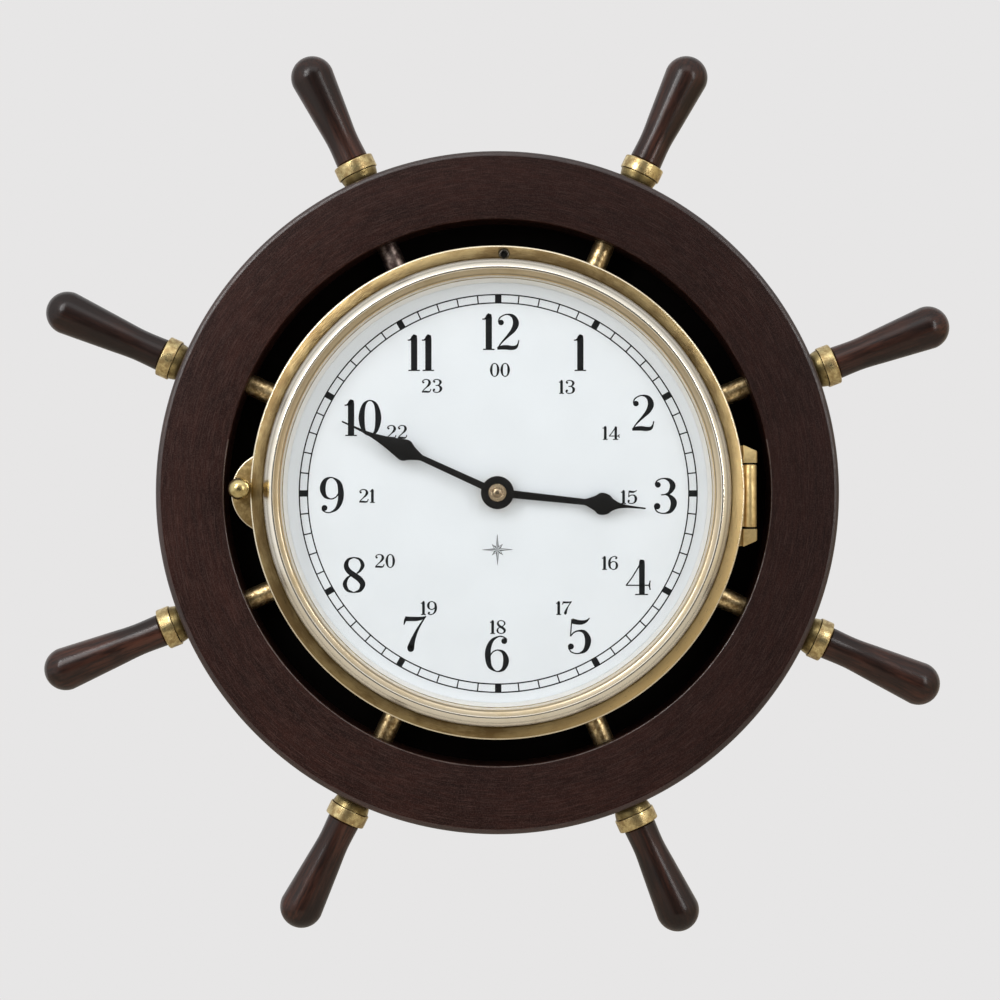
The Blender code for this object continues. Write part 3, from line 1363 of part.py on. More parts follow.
def add_motion_work() -> None:
    """Arbor, idler, hour wheel and setting knob, in mesh, and the hands that they carry."""
    places = train_places()
    arbor_axis = new_empty("arbor_axis", Vector((0, 0, 0)), FRONT)
    hour_axis = new_empty("hour_axis", Vector((0, 0, 0)), FRONT)
    idler_axis = new_empty("idler_axis", Vector((*places["idler"], 0)), FRONT)
    knob_axis = new_empty("knob_axis", Vector((*places["knob"], 0)), FRONT)
    hour_low, hour_high = wheel_layer(0)
    low, high = wheel_layer(1)

    pinion_phase = IDLER_ANGLE
    idler_phase = mesh_phase(MINUTE_PINION_TEETH, pinion_phase, IDLER_TEETH, IDLER_ANGLE)
    small_phase = IDLER_ANGLE + 180
    hour_phase = mesh_phase(IDLER_PINION_TEETH, small_phase, HOUR_WHEEL_TEETH, IDLER_ANGLE + 180)
    knob_phase = mesh_phase(IDLER_TEETH, idler_phase, KNOB_GEAR_TEETH, KNOB_ANGLE)

    arbor = [
        (0, ARBOR_FRONT),
        (ARBOR_RADIUS, ARBOR_FRONT),
        (ARBOR_RADIUS, MOVEMENT_BACK + GAP),
        (PIVOT_RADIUS, MOVEMENT_BACK + GAP),
        (PIVOT_RADIUS, COVER_BACK + GAP),
        (0, COVER_BACK + GAP),
    ]
    pinion = gear_outline(MINUTE_PINION_TEETH, MINUTE_MODULE, pinion_phase)
    gear_stack("centre_arbor", "steel", arbor_axis, arbor, [(pinion, low, high)])

    hub = HOUR_MODULE * (IDLER_PINION_TEETH / 2 - TOOTH_DEDENDUM) - OVERLAP
    base = rod(hub, low, hour_high)
    gears = [
        (gear_outline(IDLER_TEETH, MINUTE_MODULE, idler_phase), low, high),
        (gear_outline(IDLER_PINION_TEETH, HOUR_MODULE, small_phase), high - OVERLAP, hour_high),
    ]
    idler = gear_stack("minute_wheel", "white_plastic", idler_axis, base, gears)
    bore_out(idler, idler_axis, IDLER_POST_RADIUS + RUNNING_CLEARANCE, low - OVERLAP, hour_high + OVERLAP)

    pipe = [
        (PIPE_BORE_RADIUS, PIPE_FRONT),
        (PIPE_RADIUS, PIPE_FRONT),
        (PIPE_RADIUS, hour_low),
        (PIPE_BORE_RADIUS, hour_low),
    ]
    outlines = [
        gear_outline(HOUR_WHEEL_TEETH, HOUR_MODULE, hour_phase),
        circle((0, 0), PIPE_RADIUS - PIPE_WALL / 2),
    ]
    disc = plate_mesh("hour_wheel_disc", outlines, hour_low + OVERLAP, hour_high)
    hour_wheel = turned("hour_wheel", pipe, "white_plastic", SMALL_SIDES, parent=hour_axis)
    combine(hour_wheel, add_helper("hour_wheel_disc", disc, parent=hour_axis), "UNION")

    knob = [
        (0, MOVEMENT_FRONT - GAP),
        (KNOB_PIVOT_RADIUS, MOVEMENT_FRONT - GAP),
        (KNOB_PIVOT_RADIUS, high + GAP),
        (KNOB_SHAFT_RADIUS, high + GAP),
        (KNOB_SHAFT_RADIUS, COVER_BACK - GAP),
        (KNOB_RADIUS, COVER_BACK - GAP),
        (KNOB_RADIUS, KNOB_BACK),
        (0, KNOB_BACK),
    ]
    gear = gear_outline(KNOB_GEAR_TEETH, MINUTE_MODULE, knob_phase)
    gear_stack("set_knob", "white_plastic", knob_axis, knob, [(gear, low, high)])
    add_hands(arbor_axis, hour_axis)


def train_arbor() -> list[Point]:
    """Profile of an arbor that runs from the cover to the movement's front wall."""
    return rod(TRAIN_ARBOR_RADIUS, COVER_BACK + GAP, MOVEMENT_FRONT - GAP)


def train_gear(outline: list[Point], number: int, is_pinion: bool) -> tuple[list[Point], float, float]:
    """One gear of the motor train with its depths: a pinion is a little thicker than the wheel it meets."""
    middle = sum(wheel_layer(number)) / 2
    half = TRAIN_WHEEL_THICKNESS / 2 + (PINION_OVERHANG if is_pinion else 0)
    return outline, middle - half, middle + half


def add_motor_train() -> None:
    """Rotor, fourth wheel, third wheel and centre wheel, in mesh."""
    places = train_places()
    third_phase = mesh_phase(CENTRE_WHEEL_TEETH, 0, TRAIN_PINION_TEETH, THIRD_ANGLE)
    fourth_phase = mesh_phase(THIRD_WHEEL_TEETH, 0, TRAIN_PINION_TEETH, FOURTH_ANGLE)
    rotor_phase = mesh_phase(FOURTH_WHEEL_TEETH, 0, TRAIN_PINION_TEETH, ROTOR_ANGLE)

    centre_axis = new_empty("centre_wheel_axis", Vector((0, 0, 0)), FRONT)
    outline, low, high = train_gear(train_outline(CENTRE_WHEEL_TEETH, CENTRE_MODULE, 0), 2, False)
    hole = bore((0, 0), ARBOR_RADIUS + RUNNING_CLEARANCE)
    mesh = plate_mesh("centre_wheel", [outline, hole], low, high)
    add_piece("centre_wheel", mesh, "polished_brass", parent=centre_axis)

    third_axis = new_empty("third_axis", Vector((*places["third"], 0)), FRONT)
    gears = [
        train_gear(train_outline(TRAIN_PINION_TEETH, CENTRE_MODULE, third_phase), 2, True),
        train_gear(train_outline(THIRD_WHEEL_TEETH, THIRD_MODULE, 0), 3, False),
    ]
    gear_stack("third_wheel", "white_plastic", third_axis, train_arbor(), gears)

    fourth_axis = new_empty("fourth_axis", Vector((*places["fourth"], 0)), FRONT)
    gears = [
        train_gear(train_outline(TRAIN_PINION_TEETH, THIRD_MODULE, fourth_phase), 3, True),
        train_gear(train_outline(FOURTH_WHEEL_TEETH, FOURTH_MODULE, 0), 4, False),
    ]
    gear_stack("fourth_wheel", "white_plastic", fourth_axis, train_arbor(), gears)

    rotor_axis = new_empty("rotor_axis", Vector((*places["rotor"], 0)), FRONT)
    magnet_low = COVER_FRONT + STATOR_REAR_GAP + STATOR_THICKNESS / 2 - MAGNET_HEIGHT / 2
    magnet_high = magnet_low + MAGNET_HEIGHT
    base = [
        (0, MOVEMENT_FRONT - GAP),
        (TRAIN_ARBOR_RADIUS, MOVEMENT_FRONT - GAP),
        (TRAIN_ARBOR_RADIUS, magnet_high),
        (MAGNET_RADIUS, magnet_high),
        (MAGNET_RADIUS, magnet_low),
        (TRAIN_ARBOR_RADIUS, magnet_low),
        (TRAIN_ARBOR_RADIUS, COVER_BACK + GAP),
        (0, COVER_BACK + GAP),
    ]
    gears = [train_gear(train_outline(TRAIN_PINION_TEETH, FOURTH_MODULE, rotor_phase), 4, True)]
    gear_stack("rotor", "dark_steel", rotor_axis, base, gears)


def stator_depths() -> tuple[float, float]:
    """Back and front depth of the stator."""
    back = COVER_FRONT + STATOR_REAR_GAP
    return back, back + STATOR_THICKNESS


def stator_posts() -> list[Point]:
    """Where the posts that carry the stator stand, below the coil's core on both legs."""
    rotor = train_places()["rotor"]
    height = rotor[1] + COIL_RISE - CORE_WIDTH / 2 - POST_RADIUS - 2 * GAP
    left = rotor[0] - STATOR_LEFT + STATOR_LEG_WIDTH / 2
    right = rotor[0] + STATOR_RIGHT - STATOR_LEG_WIDTH / 2 + GAP
    return [(left, height), (right, height)]


def card_area() -> tuple[float, float, float, float]:
    """Left, right, bottom and top of the circuit board."""
    left = -MOVEMENT_INNER_HALF + BOARD_CARD_MARGIN
    top = MOVEMENT_INNER_HALF - BOARD_CARD_MARGIN
    return left, left + BOARD_CARD_WIDTH, top - BOARD_CARD_HEIGHT, top


def card_posts() -> list[Point]:
    """Where the posts that carry the circuit board stand."""
    left, right, _, top = card_area()
    inset = 2 * POST_RADIUS
    return [(left + inset, top - inset), (right - inset, top - inset)]


def add_stepping_motor() -> None:
    """Stator, coil and circuit board of the stepping motor."""
    rotor = train_places()["rotor"]
    fourth = train_places()["fourth"]
    low, high = stator_depths()
    left = rotor[0] - STATOR_LEFT
    right = rotor[0] + STATOR_RIGHT
    bottom = rotor[1] - STATOR_BOTTOM
    top = rotor[1] + STATOR_TOP
    notch = rotor[1] + STATOR_BRIDGE
    outline = [
        (left, bottom),
        (right, bottom),
        (right, top),
        (right - STATOR_LEG_WIDTH, top),
        (right - STATOR_LEG_WIDTH, notch),
        (left + STATOR_LEG_WIDTH, notch),
        (left + STATOR_LEG_WIDTH, top),
        (left, top),
    ]
    holes = [
        circle(rotor, MAGNET_RADIUS + STATOR_BORE_CLEARANCE),
        circle(fourth, TRAIN_ARBOR_RADIUS + ARBOR_HOLE_CLEARANCE, PIN_SIDES),
    ]
    add_piece("stator", plate_mesh("stator", [outline, *holes], low, high), "steel")

    coil_height = rotor[1] + COIL_RISE
    core_low = high + GAP
    core = box_mesh(
        "coil_core",
        (left + GAP, coil_height - CORE_WIDTH / 2, core_low),
        (right - GAP, coil_height + CORE_WIDTH / 2, core_low + CORE_THICKNESS),
    )
    start = left + STATOR_LEG_WIDTH + COIL_END_GAP
    end = right - STATOR_LEG_WIDTH - COIL_END_GAP
    coil = turned(
        "coil",
        rod(COIL_RADIUS, start, end),
        "copper_wire",
        SMALL_SIDES,
        location=(0, coil_height, core_low + CORE_THICKNESS / 2),
        rotation=(0, math.radians(90), 0),
    )
    combine(coil, add_helper("coil_core", core), "UNION")

    card_left, card_right, card_bottom, card_top = card_area()
    card_outline = rectangle(card_left, card_right, card_bottom, card_top)
    card = add_piece(
        "circuit_board",
        plate_mesh("circuit_board", [card_outline], low, low + BOARD_CARD_THICKNESS),
        "circuit_green",
    )
    middle = ((card_left + card_right) / 2, card_bottom + CHIP_RADIUS + BOARD_CARD_MARGIN)
    chip_low = low + BOARD_CARD_THICKNESS - OVERLAP
    profile = rod(CHIP_RADIUS, chip_low, chip_low + CHIP_HEIGHT)
    chip = turned_helper("chip", profile, PIN_SIDES, location=(*middle, 0))
    combine(card, chip, "UNION")


def add_movement_case() -> None:
    """The plastic shell that holds train, motor and battery, with its bush, posts and pivot holes."""
    half = MOVEMENT_HALF
    outer = rectangle(-half, half, -half, half, MOVEMENT_CORNER)
    mesh = plate_mesh("movement_case", [outer], MOVEMENT_BACK, MOVEMENT_FRONT)
    case = add_piece("movement_case", mesh, "black_plastic")
    inner = MOVEMENT_INNER_HALF
    below = MOVEMENT_BACK - MOVEMENT_WALL
    room = box_mesh("train_room", (-inner, TRAIN_FLOOR, below), (inner, inner, MOVEMENT_INSIDE))
    combine(case, add_helper("train_room", room), "DIFFERENCE")
    trough = box_mesh("battery_trough", (-inner, -inner, below), (inner, TROUGH_TOP, MOVEMENT_INSIDE))
    combine(case, add_helper("battery_trough", trough), "DIFFERENCE")

    places = train_places()
    root = MOVEMENT_INSIDE + MOVEMENT_WALL / 2
    idler_low = wheel_layer(1)[0] - GAP
    posts = [(standing(places["idler"], idler_low, root), IDLER_POST_RADIUS, root - idler_low)]
    stator_front = stator_depths()[1] + GAP
    for point in stator_posts():
        posts.append((standing(point, stator_front, root), POST_RADIUS, root - stator_front))
    card_front = stator_depths()[0] + BOARD_CARD_THICKNESS + GAP
    for point in card_posts():
        posts.append((standing(point, card_front, root), POST_RADIUS, root - card_front))
    combine(case, add_helper("movement_posts", cylinders_mesh("movement_posts", PIN_SIDES, posts)), "UNION")
    bush = turned_helper("movement_bush", rod(BUSH_RADIUS, root, BUSH_FRONT), SMALL_SIDES)
    combine(case, bush, "UNION")

    bore_out(case, FRONT, BUSH_BORE_RADIUS, MOVEMENT_INSIDE - MOVEMENT_WALL, BUSH_FRONT + MOVEMENT_WALL)
    ends = (MOVEMENT_INSIDE - MOVEMENT_WALL, MOVEMENT_FRONT + MOVEMENT_WALL)
    pivots = [(places["knob"], KNOB_PIVOT_RADIUS)]
    pivots += [(places[name], TRAIN_ARBOR_RADIUS) for name in ("third", "fourth", "rotor")]
    holes = [
        (standing(point, *ends), radius + RUNNING_CLEARANCE, ends[1] - ends[0]) for point, radius in pivots
    ]
    mesh = cylinders_mesh("movement_pivots", PIN_SIDES, holes)
    combine(case, add_helper("movement_pivots", mesh), "DIFFERENCE")


def add_movement_cover() -> None:
    """The plate that closes the gear side of the movement."""
    half = MOVEMENT_HALF
    outline = rectangle(-half, half, TROUGH_TOP, half, MOVEMENT_CORNER / 3)
    places = train_places()
    holes = [
        circle((0, 0), PIVOT_RADIUS + RUNNING_CLEARANCE),
        circle(places["knob"], KNOB_SHAFT_RADIUS + RUNNING_CLEARANCE),
    ]
    for name in ("third", "fourth", "rotor"):
        holes.append(circle(places[name], TRAIN_ARBOR_RADIUS + RUNNING_CLEARANCE, PIN_SIDES))
    mesh = plate_mesh("movement_cover", [outline, *holes], COVER_BACK, COVER_FRONT)
    add_piece("movement_cover", mesh, "black_plastic")


def add_battery() -> None:
    """The battery and the two contacts that it lies between."""
    plate_face = MOVEMENT_INNER_HALF - GAP - CONTACT_THICKNESS
    nub_end = plate_face - GAP
    shoulder = nub_end - BATTERY_NUB_LENGTH
    far_end = nub_end - CELL_LENGTH
    profile = [
        (0, nub_end),
        (BATTERY_NUB_RADIUS, nub_end),
        (BATTERY_NUB_RADIUS, shoulder),
        (BATTERY_RADIUS - GAP, shoulder),
        (BATTERY_RADIUS, shoulder - GAP),
        (BATTERY_RADIUS, far_end),
        (0, far_end),
    ]
    turned(
        "battery",
        profile,
        "battery_label",
        SMALL_SIDES,
        location=(0, BATTERY_HEIGHT, BATTERY_DEPTH),
        rotation=(0, math.radians(90), 0),
    )
    low = BATTERY_DEPTH - CONTACT_HEIGHT / 2
    high = BATTERY_DEPTH + CONTACT_HEIGHT / 2
    half_width = CONTACT_WIDTH / 2
    # Drawn with the depth axis upwards and extruded down the clock's own height.
    standing_up = {"location": (0, BATTERY_HEIGHT, 0), "rotation": (math.radians(90), 0, 0)}
    strip = rectangle(plate_face, plate_face + CONTACT_THICKNESS, low, high)
    mesh = plate_mesh("contact_pos", [strip], -half_width, half_width)
    add_piece("contact_pos", mesh, "steel", **standing_up)
    back = -MOVEMENT_INNER_HALF + GAP
    bend = CONTACT_HEIGHT / 4
    leaf = [
        (back, low),
        (back + CONTACT_THICKNESS, low),
        (back + CONTACT_THICKNESS, low + bend),
        (back + CONTACT_THICKNESS + CONTACT_BOW, BATTERY_DEPTH),
        (back + CONTACT_THICKNESS, high - bend),
        (back + CONTACT_THICKNESS, high),
        (back, high),
        (back, high - bend),
        (back + CONTACT_BOW, BATTERY_DEPTH),
        (back, low + bend),
    ]
    mesh = plate_mesh("contact_neg", [leaf], -half_width, half_width)
    add_piece("contact_neg", mesh, "steel", **standing_up)


def main() -> None:
    """Builds the clock from the wall forwards."""
    add_back_board()
    add_rim()
    add_hanger()
    add_handles()
    add_spokes()
    add_case()
    add_hinge_pin()
    add_movement_case()
    add_movement_cover()
    add_battery()
    add_motor_train()
    add_stepping_motor()
    add_motion_work()
    add_dial()
    add_bezel()


main()
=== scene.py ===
"""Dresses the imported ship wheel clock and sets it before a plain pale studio.

The clock hangs on the wall plane y = 0 and faces -Y. A turned piece is drawn as a section of
(radius, depth) points and a flat one as (right, up) points, both as a person facing the clock sees
them. Depth is the height out of the wall. Sizes are metres.
"""

import logging
import math
from collections.abc import Callable, Sequence
from dataclasses import dataclass
from enum import Enum
from functools import cache

import bmesh
import bpy
from mathutils import Matrix, Vector


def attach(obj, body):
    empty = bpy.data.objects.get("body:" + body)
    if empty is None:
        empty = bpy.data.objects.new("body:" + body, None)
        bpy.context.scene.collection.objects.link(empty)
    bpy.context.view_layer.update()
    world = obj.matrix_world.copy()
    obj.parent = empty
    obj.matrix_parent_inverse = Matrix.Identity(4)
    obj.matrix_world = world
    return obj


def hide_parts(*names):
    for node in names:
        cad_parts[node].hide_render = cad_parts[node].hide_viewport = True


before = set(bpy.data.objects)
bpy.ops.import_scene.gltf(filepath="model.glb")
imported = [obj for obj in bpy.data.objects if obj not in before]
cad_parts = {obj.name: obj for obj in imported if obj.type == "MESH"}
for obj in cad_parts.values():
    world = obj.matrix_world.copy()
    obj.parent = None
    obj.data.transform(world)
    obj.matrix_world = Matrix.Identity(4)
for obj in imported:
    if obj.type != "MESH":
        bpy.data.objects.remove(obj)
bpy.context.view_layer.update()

LOG = logging.getLogger("ship_wheel_clock")

Point = tuple[float, float]
Triple = tuple[float, float, float]
Socket = bpy.types.NodeSocket
FRONT = Matrix.Rotation(math.radians(90), 4, "X")
WELD = 1e-7
HAIR = 0.00001
GAP = 0.0003
EASE = 0.0003
RING_STEPS = 288
ROD_STEPS = 48
PIN_STEPS = 24
HANDLE_COUNT = 8
FIRST_ANGLE = 22.5
RIM_RADIUS = 0.127
CASE_RADIUS = 0.0812
LATCH_PLACE = (-0.0946, 0.0014)


class Body(Enum):
    """The moving bodies that a piece can ride on."""

    WHEEL = "wheel"
    DOOR = "door"
    LATCH = "latch"
    HOUR = "hour"
    MINUTE = "minute"


def arc(centre: Point, radius: float, start: float, end: float, steps: int) -> list[Point]:
    """Points on an arc between two angles in degrees, one more than its steps."""
    angles = [math.radians(start + (end - start) * step / steps) for step in range(steps + 1)]
    return [(centre[0] + radius * math.cos(a), centre[1] + radius * math.sin(a)) for a in angles]


def circle(centre: Point, radius: float) -> list[Point]:
    """The outline of a round hole or dot."""
    return arc(centre, radius, 0, 345, 23)


def bar(radius: float, low: float, high: float) -> list[Point]:
    """Section of a plain rod between two heights."""
    return [(0.0, low), (radius, low), (radius, high), (0.0, high)]


def rounded(radius: float, high: float, low: float, edge: float) -> list[Point]:
    """The outer side of a section from one height down to another, with both its edges rounded."""
    inner = radius - edge
    return [*arc((inner, high - edge), edge, 90, 0, 3), *arc((inner, low + edge), edge, 0, -90, 3)]


def box(left: float, right: float, low: float, high: float) -> list[Point]:
    """The corners of a rectangle."""
    return [(left, low), (right, low), (right, high), (left, high)]


def between(t: float, a: float, b: float, c: float, d: float) -> float:
    """The value at a share of the way from b to c on a smooth line through four even steps."""
    return 0.5 * (2 * b + (c - a) * t + (2 * a - 5 * b + 4 * c - d) * t**2 + (3 * b - a - 3 * c + d) * t**3)


def eased(points: Sequence[tuple[float, ...]], steps: int, closed: bool = False) -> list[tuple[float, ...]]:
    """Points on a smooth line through the given ones.

    Args:
        points: points of any one dimension.
        steps: stretches between two given points.
        closed: whether the last point joins the first.

    Returns:
        The given points with those between them.
    """
    count = len(points)
    line = []
    for number in range(count if closed else count - 1):
        near = [number + offset for offset in (-1, 0, 1, 2)]
        around = [points[n % count if closed else min(max(n, 0), count - 1)] for n in near]
        for step in range(steps):
            line.append(tuple(between(step / steps, *four) for four in zip(*around, strict=True)))
    return line if closed else [*line, tuple(points[-1])]


def at(right: float, up: float) -> Matrix:
    """A place on the clock's front, its z axis out of the wall."""
    return FRONT @ Matrix.Translation((right, up, 0.0))


def turned_by(angle: float) -> Matrix:
    """A turn about the clock's axis, in degrees anticlockwise."""
    return Matrix.Rotation(math.radians(angle), 4, "Z")


def radial_place(angle: float, distance: float, depth: float, lean: float = 0.0) -> Matrix:
    """Place of a rod that points outwards from the clock's middle.

    Args:
        angle: degrees anticlockwise from 3 o'clock.
        distance: from the clock's axis to the rod's origin.
        depth: the rod's height out of the wall.
        lean: degrees that it leans from the radius.

    Returns:
        A matrix that takes the rod's z axis to its line.
    """
    around = math.radians(angle)
    foot = Vector((distance * math.cos(around), distance * math.sin(around), depth))
    turned = FRONT @ Matrix.Translation(foot) @ turned_by(angle + lean)
    return turned @ Matrix.Rotation(math.radians(90), 4, "Y")


class Nodes:
    """A tree of shader nodes, with short ways to add and join them."""

    def __init__(self, tree: bpy.types.NodeTree) -> None:
        """Takes the tree."""
        self.tree = tree

    def feed(self, value: object, socket: Socket) -> None:
        """Links an output to a socket, or sets the socket's plain value."""
        if isinstance(value, Socket):
            self.tree.links.new(value, socket)
        else:
            socket.default_value = value

    def add(self, kind: str, feeds: dict[int | str, object], **settings: object) -> bpy.types.Node:
        """Adds a node.

        Args:
            kind: its type name after ShaderNode.
            feeds: outputs or plain values, by socket.
            settings: its properties.

        Returns:
            The node.
        """
        node = self.tree.nodes.new(f"ShaderNode{kind}")
        for key, value in settings.items():
            setattr(node, key, value)
        for socket, value in feeds.items():
            self.feed(value, node.inputs[socket])
        return node

    def place(self) -> Socket:
        """The point on the object, in metres."""
        return self.add("TexCoord", {}).outputs["Object"]

    def flat(self) -> Socket:
        """The point on the object without its depth."""
        return self.vector("MULTIPLY", self.place(), (1.0, 0.0, 1.0))

    def maths(self, operation: str, first: object, second: object) -> Socket:
        """The result of one sum on two values."""
        return self.add("Math", {0: first, 1: second}, operation=operation).outputs[0]

    def vector(self, operation: str, first: object, second: object = (0.0, 0.0, 0.0)) -> Socket:
        """The result of one sum on two vectors: a vector, or a value where the sum gives one."""
        node = self.add("VectorMath", {0: first, 1: second}, operation=operation)
        return node.outputs["Value" if operation in ("LENGTH", "DOT_PRODUCT") else "Vector"]

    def noise(self, vector: Socket, scale: float, detail: float = 3.0, rough: float = 0.5) -> Socket:
        """Noise from 0 to 1, of a scale in features a unit, with finer layers and their strength."""
        feeds = {"Vector": vector, "Scale": scale, "Detail": detail, "Roughness": rough}
        return self.add("TexNoise", feeds).outputs["Fac"]

    def ring_noise(self, along: float, across: float, detail: float = 3.0, rough: float = 0.6) -> Socket:
        """Noise that follows the clock's rings without a seam, for grain and turning marks.

        Args:
            along: features in a radian.
            across: features in a metre of radius or depth.
            detail: number of finer layers.
            rough: strength of the finer layers.

        Returns:
            The noise's output.
        """
        flat = self.flat()
        depth = self.add("SeparateXYZ", {"Vector": self.place()}).outputs["Y"]
        steps = self.maths("MULTIPLY", self.maths("ADD", self.vector("LENGTH", flat), depth), across)
        turned = self.vector("MULTIPLY", self.vector("NORMALIZE", flat), (along, 0.0, along))
        layer = self.add("CombineXYZ", {"Y": steps}).outputs["Vector"]
        return self.noise(self.vector("ADD", turned, layer), 1.0, detail, rough)

    def span(
        self, value: Socket, low: float, high: float, to_low: float = 0.0, to_high: float = 1.0,
        smooth: bool = True,
    ) -> Socket:
        """Maps a value from one span to another and clamps it, smoothly or in a straight line."""
        feeds = {"Value": value, "From Min": low, "From Max": high, "To Min": to_low, "To Max": to_high}
        kind = "SMOOTHSTEP" if smooth else "LINEAR"
        return self.add("MapRange", feeds, interpolation_type=kind).outputs["Result"]

    def mix(self, factor: object, first: object, second: object) -> Socket:
        """Mixes two colours.

        Args:
            factor: share of the second, value or output.
            first: colour or output.
            second: colour or output.

        Returns:
            The mixed colour's output.
        """
        node = self.add("Mix", {"Factor": factor}, data_type="RGBA")
        sockets = [socket for socket in node.inputs if socket.type == "RGBA"]
        for socket, value in zip(sockets, (first, second), strict=True):
            self.feed((*value, 1.0) if isinstance(value, tuple) else value, socket)
        return next(socket for socket in node.outputs if socket.type == "RGBA")

    def blend(self, factor: object, first: Socket, second: Socket) -> Socket:
        """Mixes two shaders."""
        return self.add("MixShader", {"Fac": factor, 1: first, 2: second}).outputs["Shader"]

    def ramp(self, value: Socket, levels: Sequence[Point]) -> Socket:
        """Turns a value from 0 to 1 into a grey level.

        Args:
            value: the value's output.
            levels: (place, level) pairs.

        Returns:
            The grey's output.
        """
        node = self.add("ValToRGB", {"Fac": value})
        node.color_ramp.interpolation = "EASE"
        stops = node.color_ramp.elements
        stops.remove(stops[1])
        for number, (place, level) in enumerate(levels):
            stop = stops.new(place) if number else stops[0]
            stop.position = place
            stop.color = (level, level, level, 1.0)
        return node.outputs["Color"]


class Shader(Nodes):
    """A new material round one Principled shader."""

    def __init__(self, name: str, colour: Triple, roughness: float, metallic: float = 0.0) -> None:
        """Makes the material.

        Args:
            name: its name.
            colour: linear base colour.
            roughness: plain roughness, until a node feeds it.
            metallic: plain metallic value.
        """
        self.material = bpy.data.materials.new(name)
        self.material.use_nodes = True
        super().__init__(self.material.node_tree)
        kinds = {node.type: node for node in self.tree.nodes}
        self.shader, self.output = kinds["BSDF_PRINCIPLED"], kinds["OUTPUT_MATERIAL"]
        self.colour, self.roughness = colour, roughness
        self.set("Base Color", (*colour, 1.0))
        self.set("Roughness", roughness)
        self.set("Metallic", metallic)
        self.material.diffuse_color = (*colour, 1.0)

    def set(self, socket: str, value: object) -> None:
        """Gives one of the shader's own sockets an output or a plain value."""
        self.feed(value, self.shader.inputs[socket])

    def mottle(self, value: Socket, shade: float) -> None:
        """Mixes the base colour with a shade of itself."""
        self.set("Base Color", self.mix(value, self.colour, tuple(shade * c for c in self.colour)))

    def roughen(self, value: Socket, low: float, high: float, less: float, more: float) -> None:
        """Varies the roughness about its plain value.

        Args:
            value: the output that it follows.
            low: where it is smoothest.
            high: where it is roughest.
            less: how far it goes down.
            more: how far it goes up.
        """
        self.set("Roughness", self.span(value, low, high, self.roughness - less, self.roughness + more))

    def give_way(self, factor: Socket, other: Socket) -> None:
        """Shows another shader instead of its own, by a factor."""
        surface = self.blend(factor, self.shader.outputs["BSDF"], other)
        self.feed(surface, self.output.inputs["Surface"])

    def bump(self, height: Socket, strength: float, distance: float) -> None:
        """Gives the normal a relief, from its height's output, its share and its height in metres."""
        node = self.add("Bump", {"Strength": strength, "Distance": distance, "Height": height})
        self.set("Normal", node.outputs["Normal"])


@dataclass(frozen=True)
class RimWood:
    """Dark reddish rim wood, darkest on the right from painted shade, with fine grain round the wheel under
    satin lacquer.
    """

    name: str = "rim_wood"
    slot: str = "rim_wood"
    dark: Triple = (0.0085, 0.0020, 0.0012)
    light: Triple = (0.0285, 0.0072, 0.0045)
    pore: Triple = (0.074, 0.038, 0.031)
    roughness: float = 0.46
    specular: float = 0.13

    def material(self) -> bpy.types.Material:
        """Builds the material."""
        nodes = Shader(self.name, self.light, self.roughness)
        cloud = nodes.span(nodes.ring_noise(4.0, 70.0, rough=0.55), 0.3, 0.7, 0.0, 0.55)
        bands = nodes.span(nodes.ring_noise(7.0, 700.0), 0.3, 0.7, 0.0, 0.45)
        grain = nodes.ring_noise(22.0, 2100.0)
        flecks = nodes.ring_noise(17.0, 3900.0)
        specks = nodes.noise(nodes.place(), 2300.0, 2.0)
        # Painted shade: darkens the wood towards the right and a little towards the top, where less light
        # falls.
        painted_shade_rightwards = nodes.vector("DOT_PRODUCT", nodes.place(), (1.0, 0.0, 0.35))
        colour = nodes.mix(nodes.maths("ADD", cloud, bands), self.dark, self.light)
        for value, low, high, share, tone in (
            (grain, 0.50, 0.66, 0.7, self.dark),
            (flecks, 0.50, 0.70, 0.55, self.pore),
            (specks, 0.45, 0.7, 0.42, self.pore),
            (painted_shade_rightwards, -0.09, 0.12, 0.42, self.dark),
        ):
            colour = nodes.mix(nodes.span(value, low, high, 0.0, share), colour, tone)
        nodes.set("Base Color", colour)
        nodes.roughen(grain, 0.3, 0.7, 0.06, 0.1)
        nodes.bump(nodes.maths("ADD", grain, flecks), 0.25, 0.0002)
        nodes.set("Specular IOR Level", self.specular)
        return nodes.material


@dataclass(frozen=True)
class HandleWood:
    """Nearly black rosewood, turned and waxed, with streaks along each handle."""

    name: str = "handle_wood"
    slot: str = "handle_wood"
    dark: Triple = (0.0080, 0.0034, 0.0024)
    light: Triple = (0.070, 0.0225, 0.0125)
    roughness: float = 0.42
    specular: float = 0.06
    wax: float = 0.55
    wax_roughness: float = 0.22

    def material(self) -> bpy.types.Material:
        """Builds the material."""
        nodes = Shader(self.name, self.dark, self.roughness)
        place = nodes.add("Attribute", {}, attribute_name="turned_place").outputs["Vector"]
        layers = ((0.07, 900.0, 4.0, 0.6), (0.35, 75.0, 2.0, 0.5), (0.12, 2400.0, 2.0, 0.5))
        streaks, cloud, pores = (
            nodes.noise(nodes.vector("MULTIPLY", place, (1.0, 1.0, along)), scale, detail, rough)
            for along, scale, detail, rough in layers
        )
        tone = nodes.maths("MULTIPLY", nodes.span(streaks, 0.3, 0.7, 0.1), nodes.span(cloud, 0.34, 0.7, 0.08))
        nodes.set("Base Color", nodes.mix(tone, self.dark, self.light))
        nodes.roughen(pores, 0.35, 0.7, 0.05, 0.16)
        nodes.bump(nodes.maths("ADD", streaks, nodes.span(pores, 0.55, 0.7, 0.0, -1.0)), 0.1, 0.00005)
        nodes.set("Specular IOR Level", self.specular)
        nodes.set("Coat Weight", self.wax)
        nodes.set("Coat Roughness", self.wax_roughness)
        return nodes.material


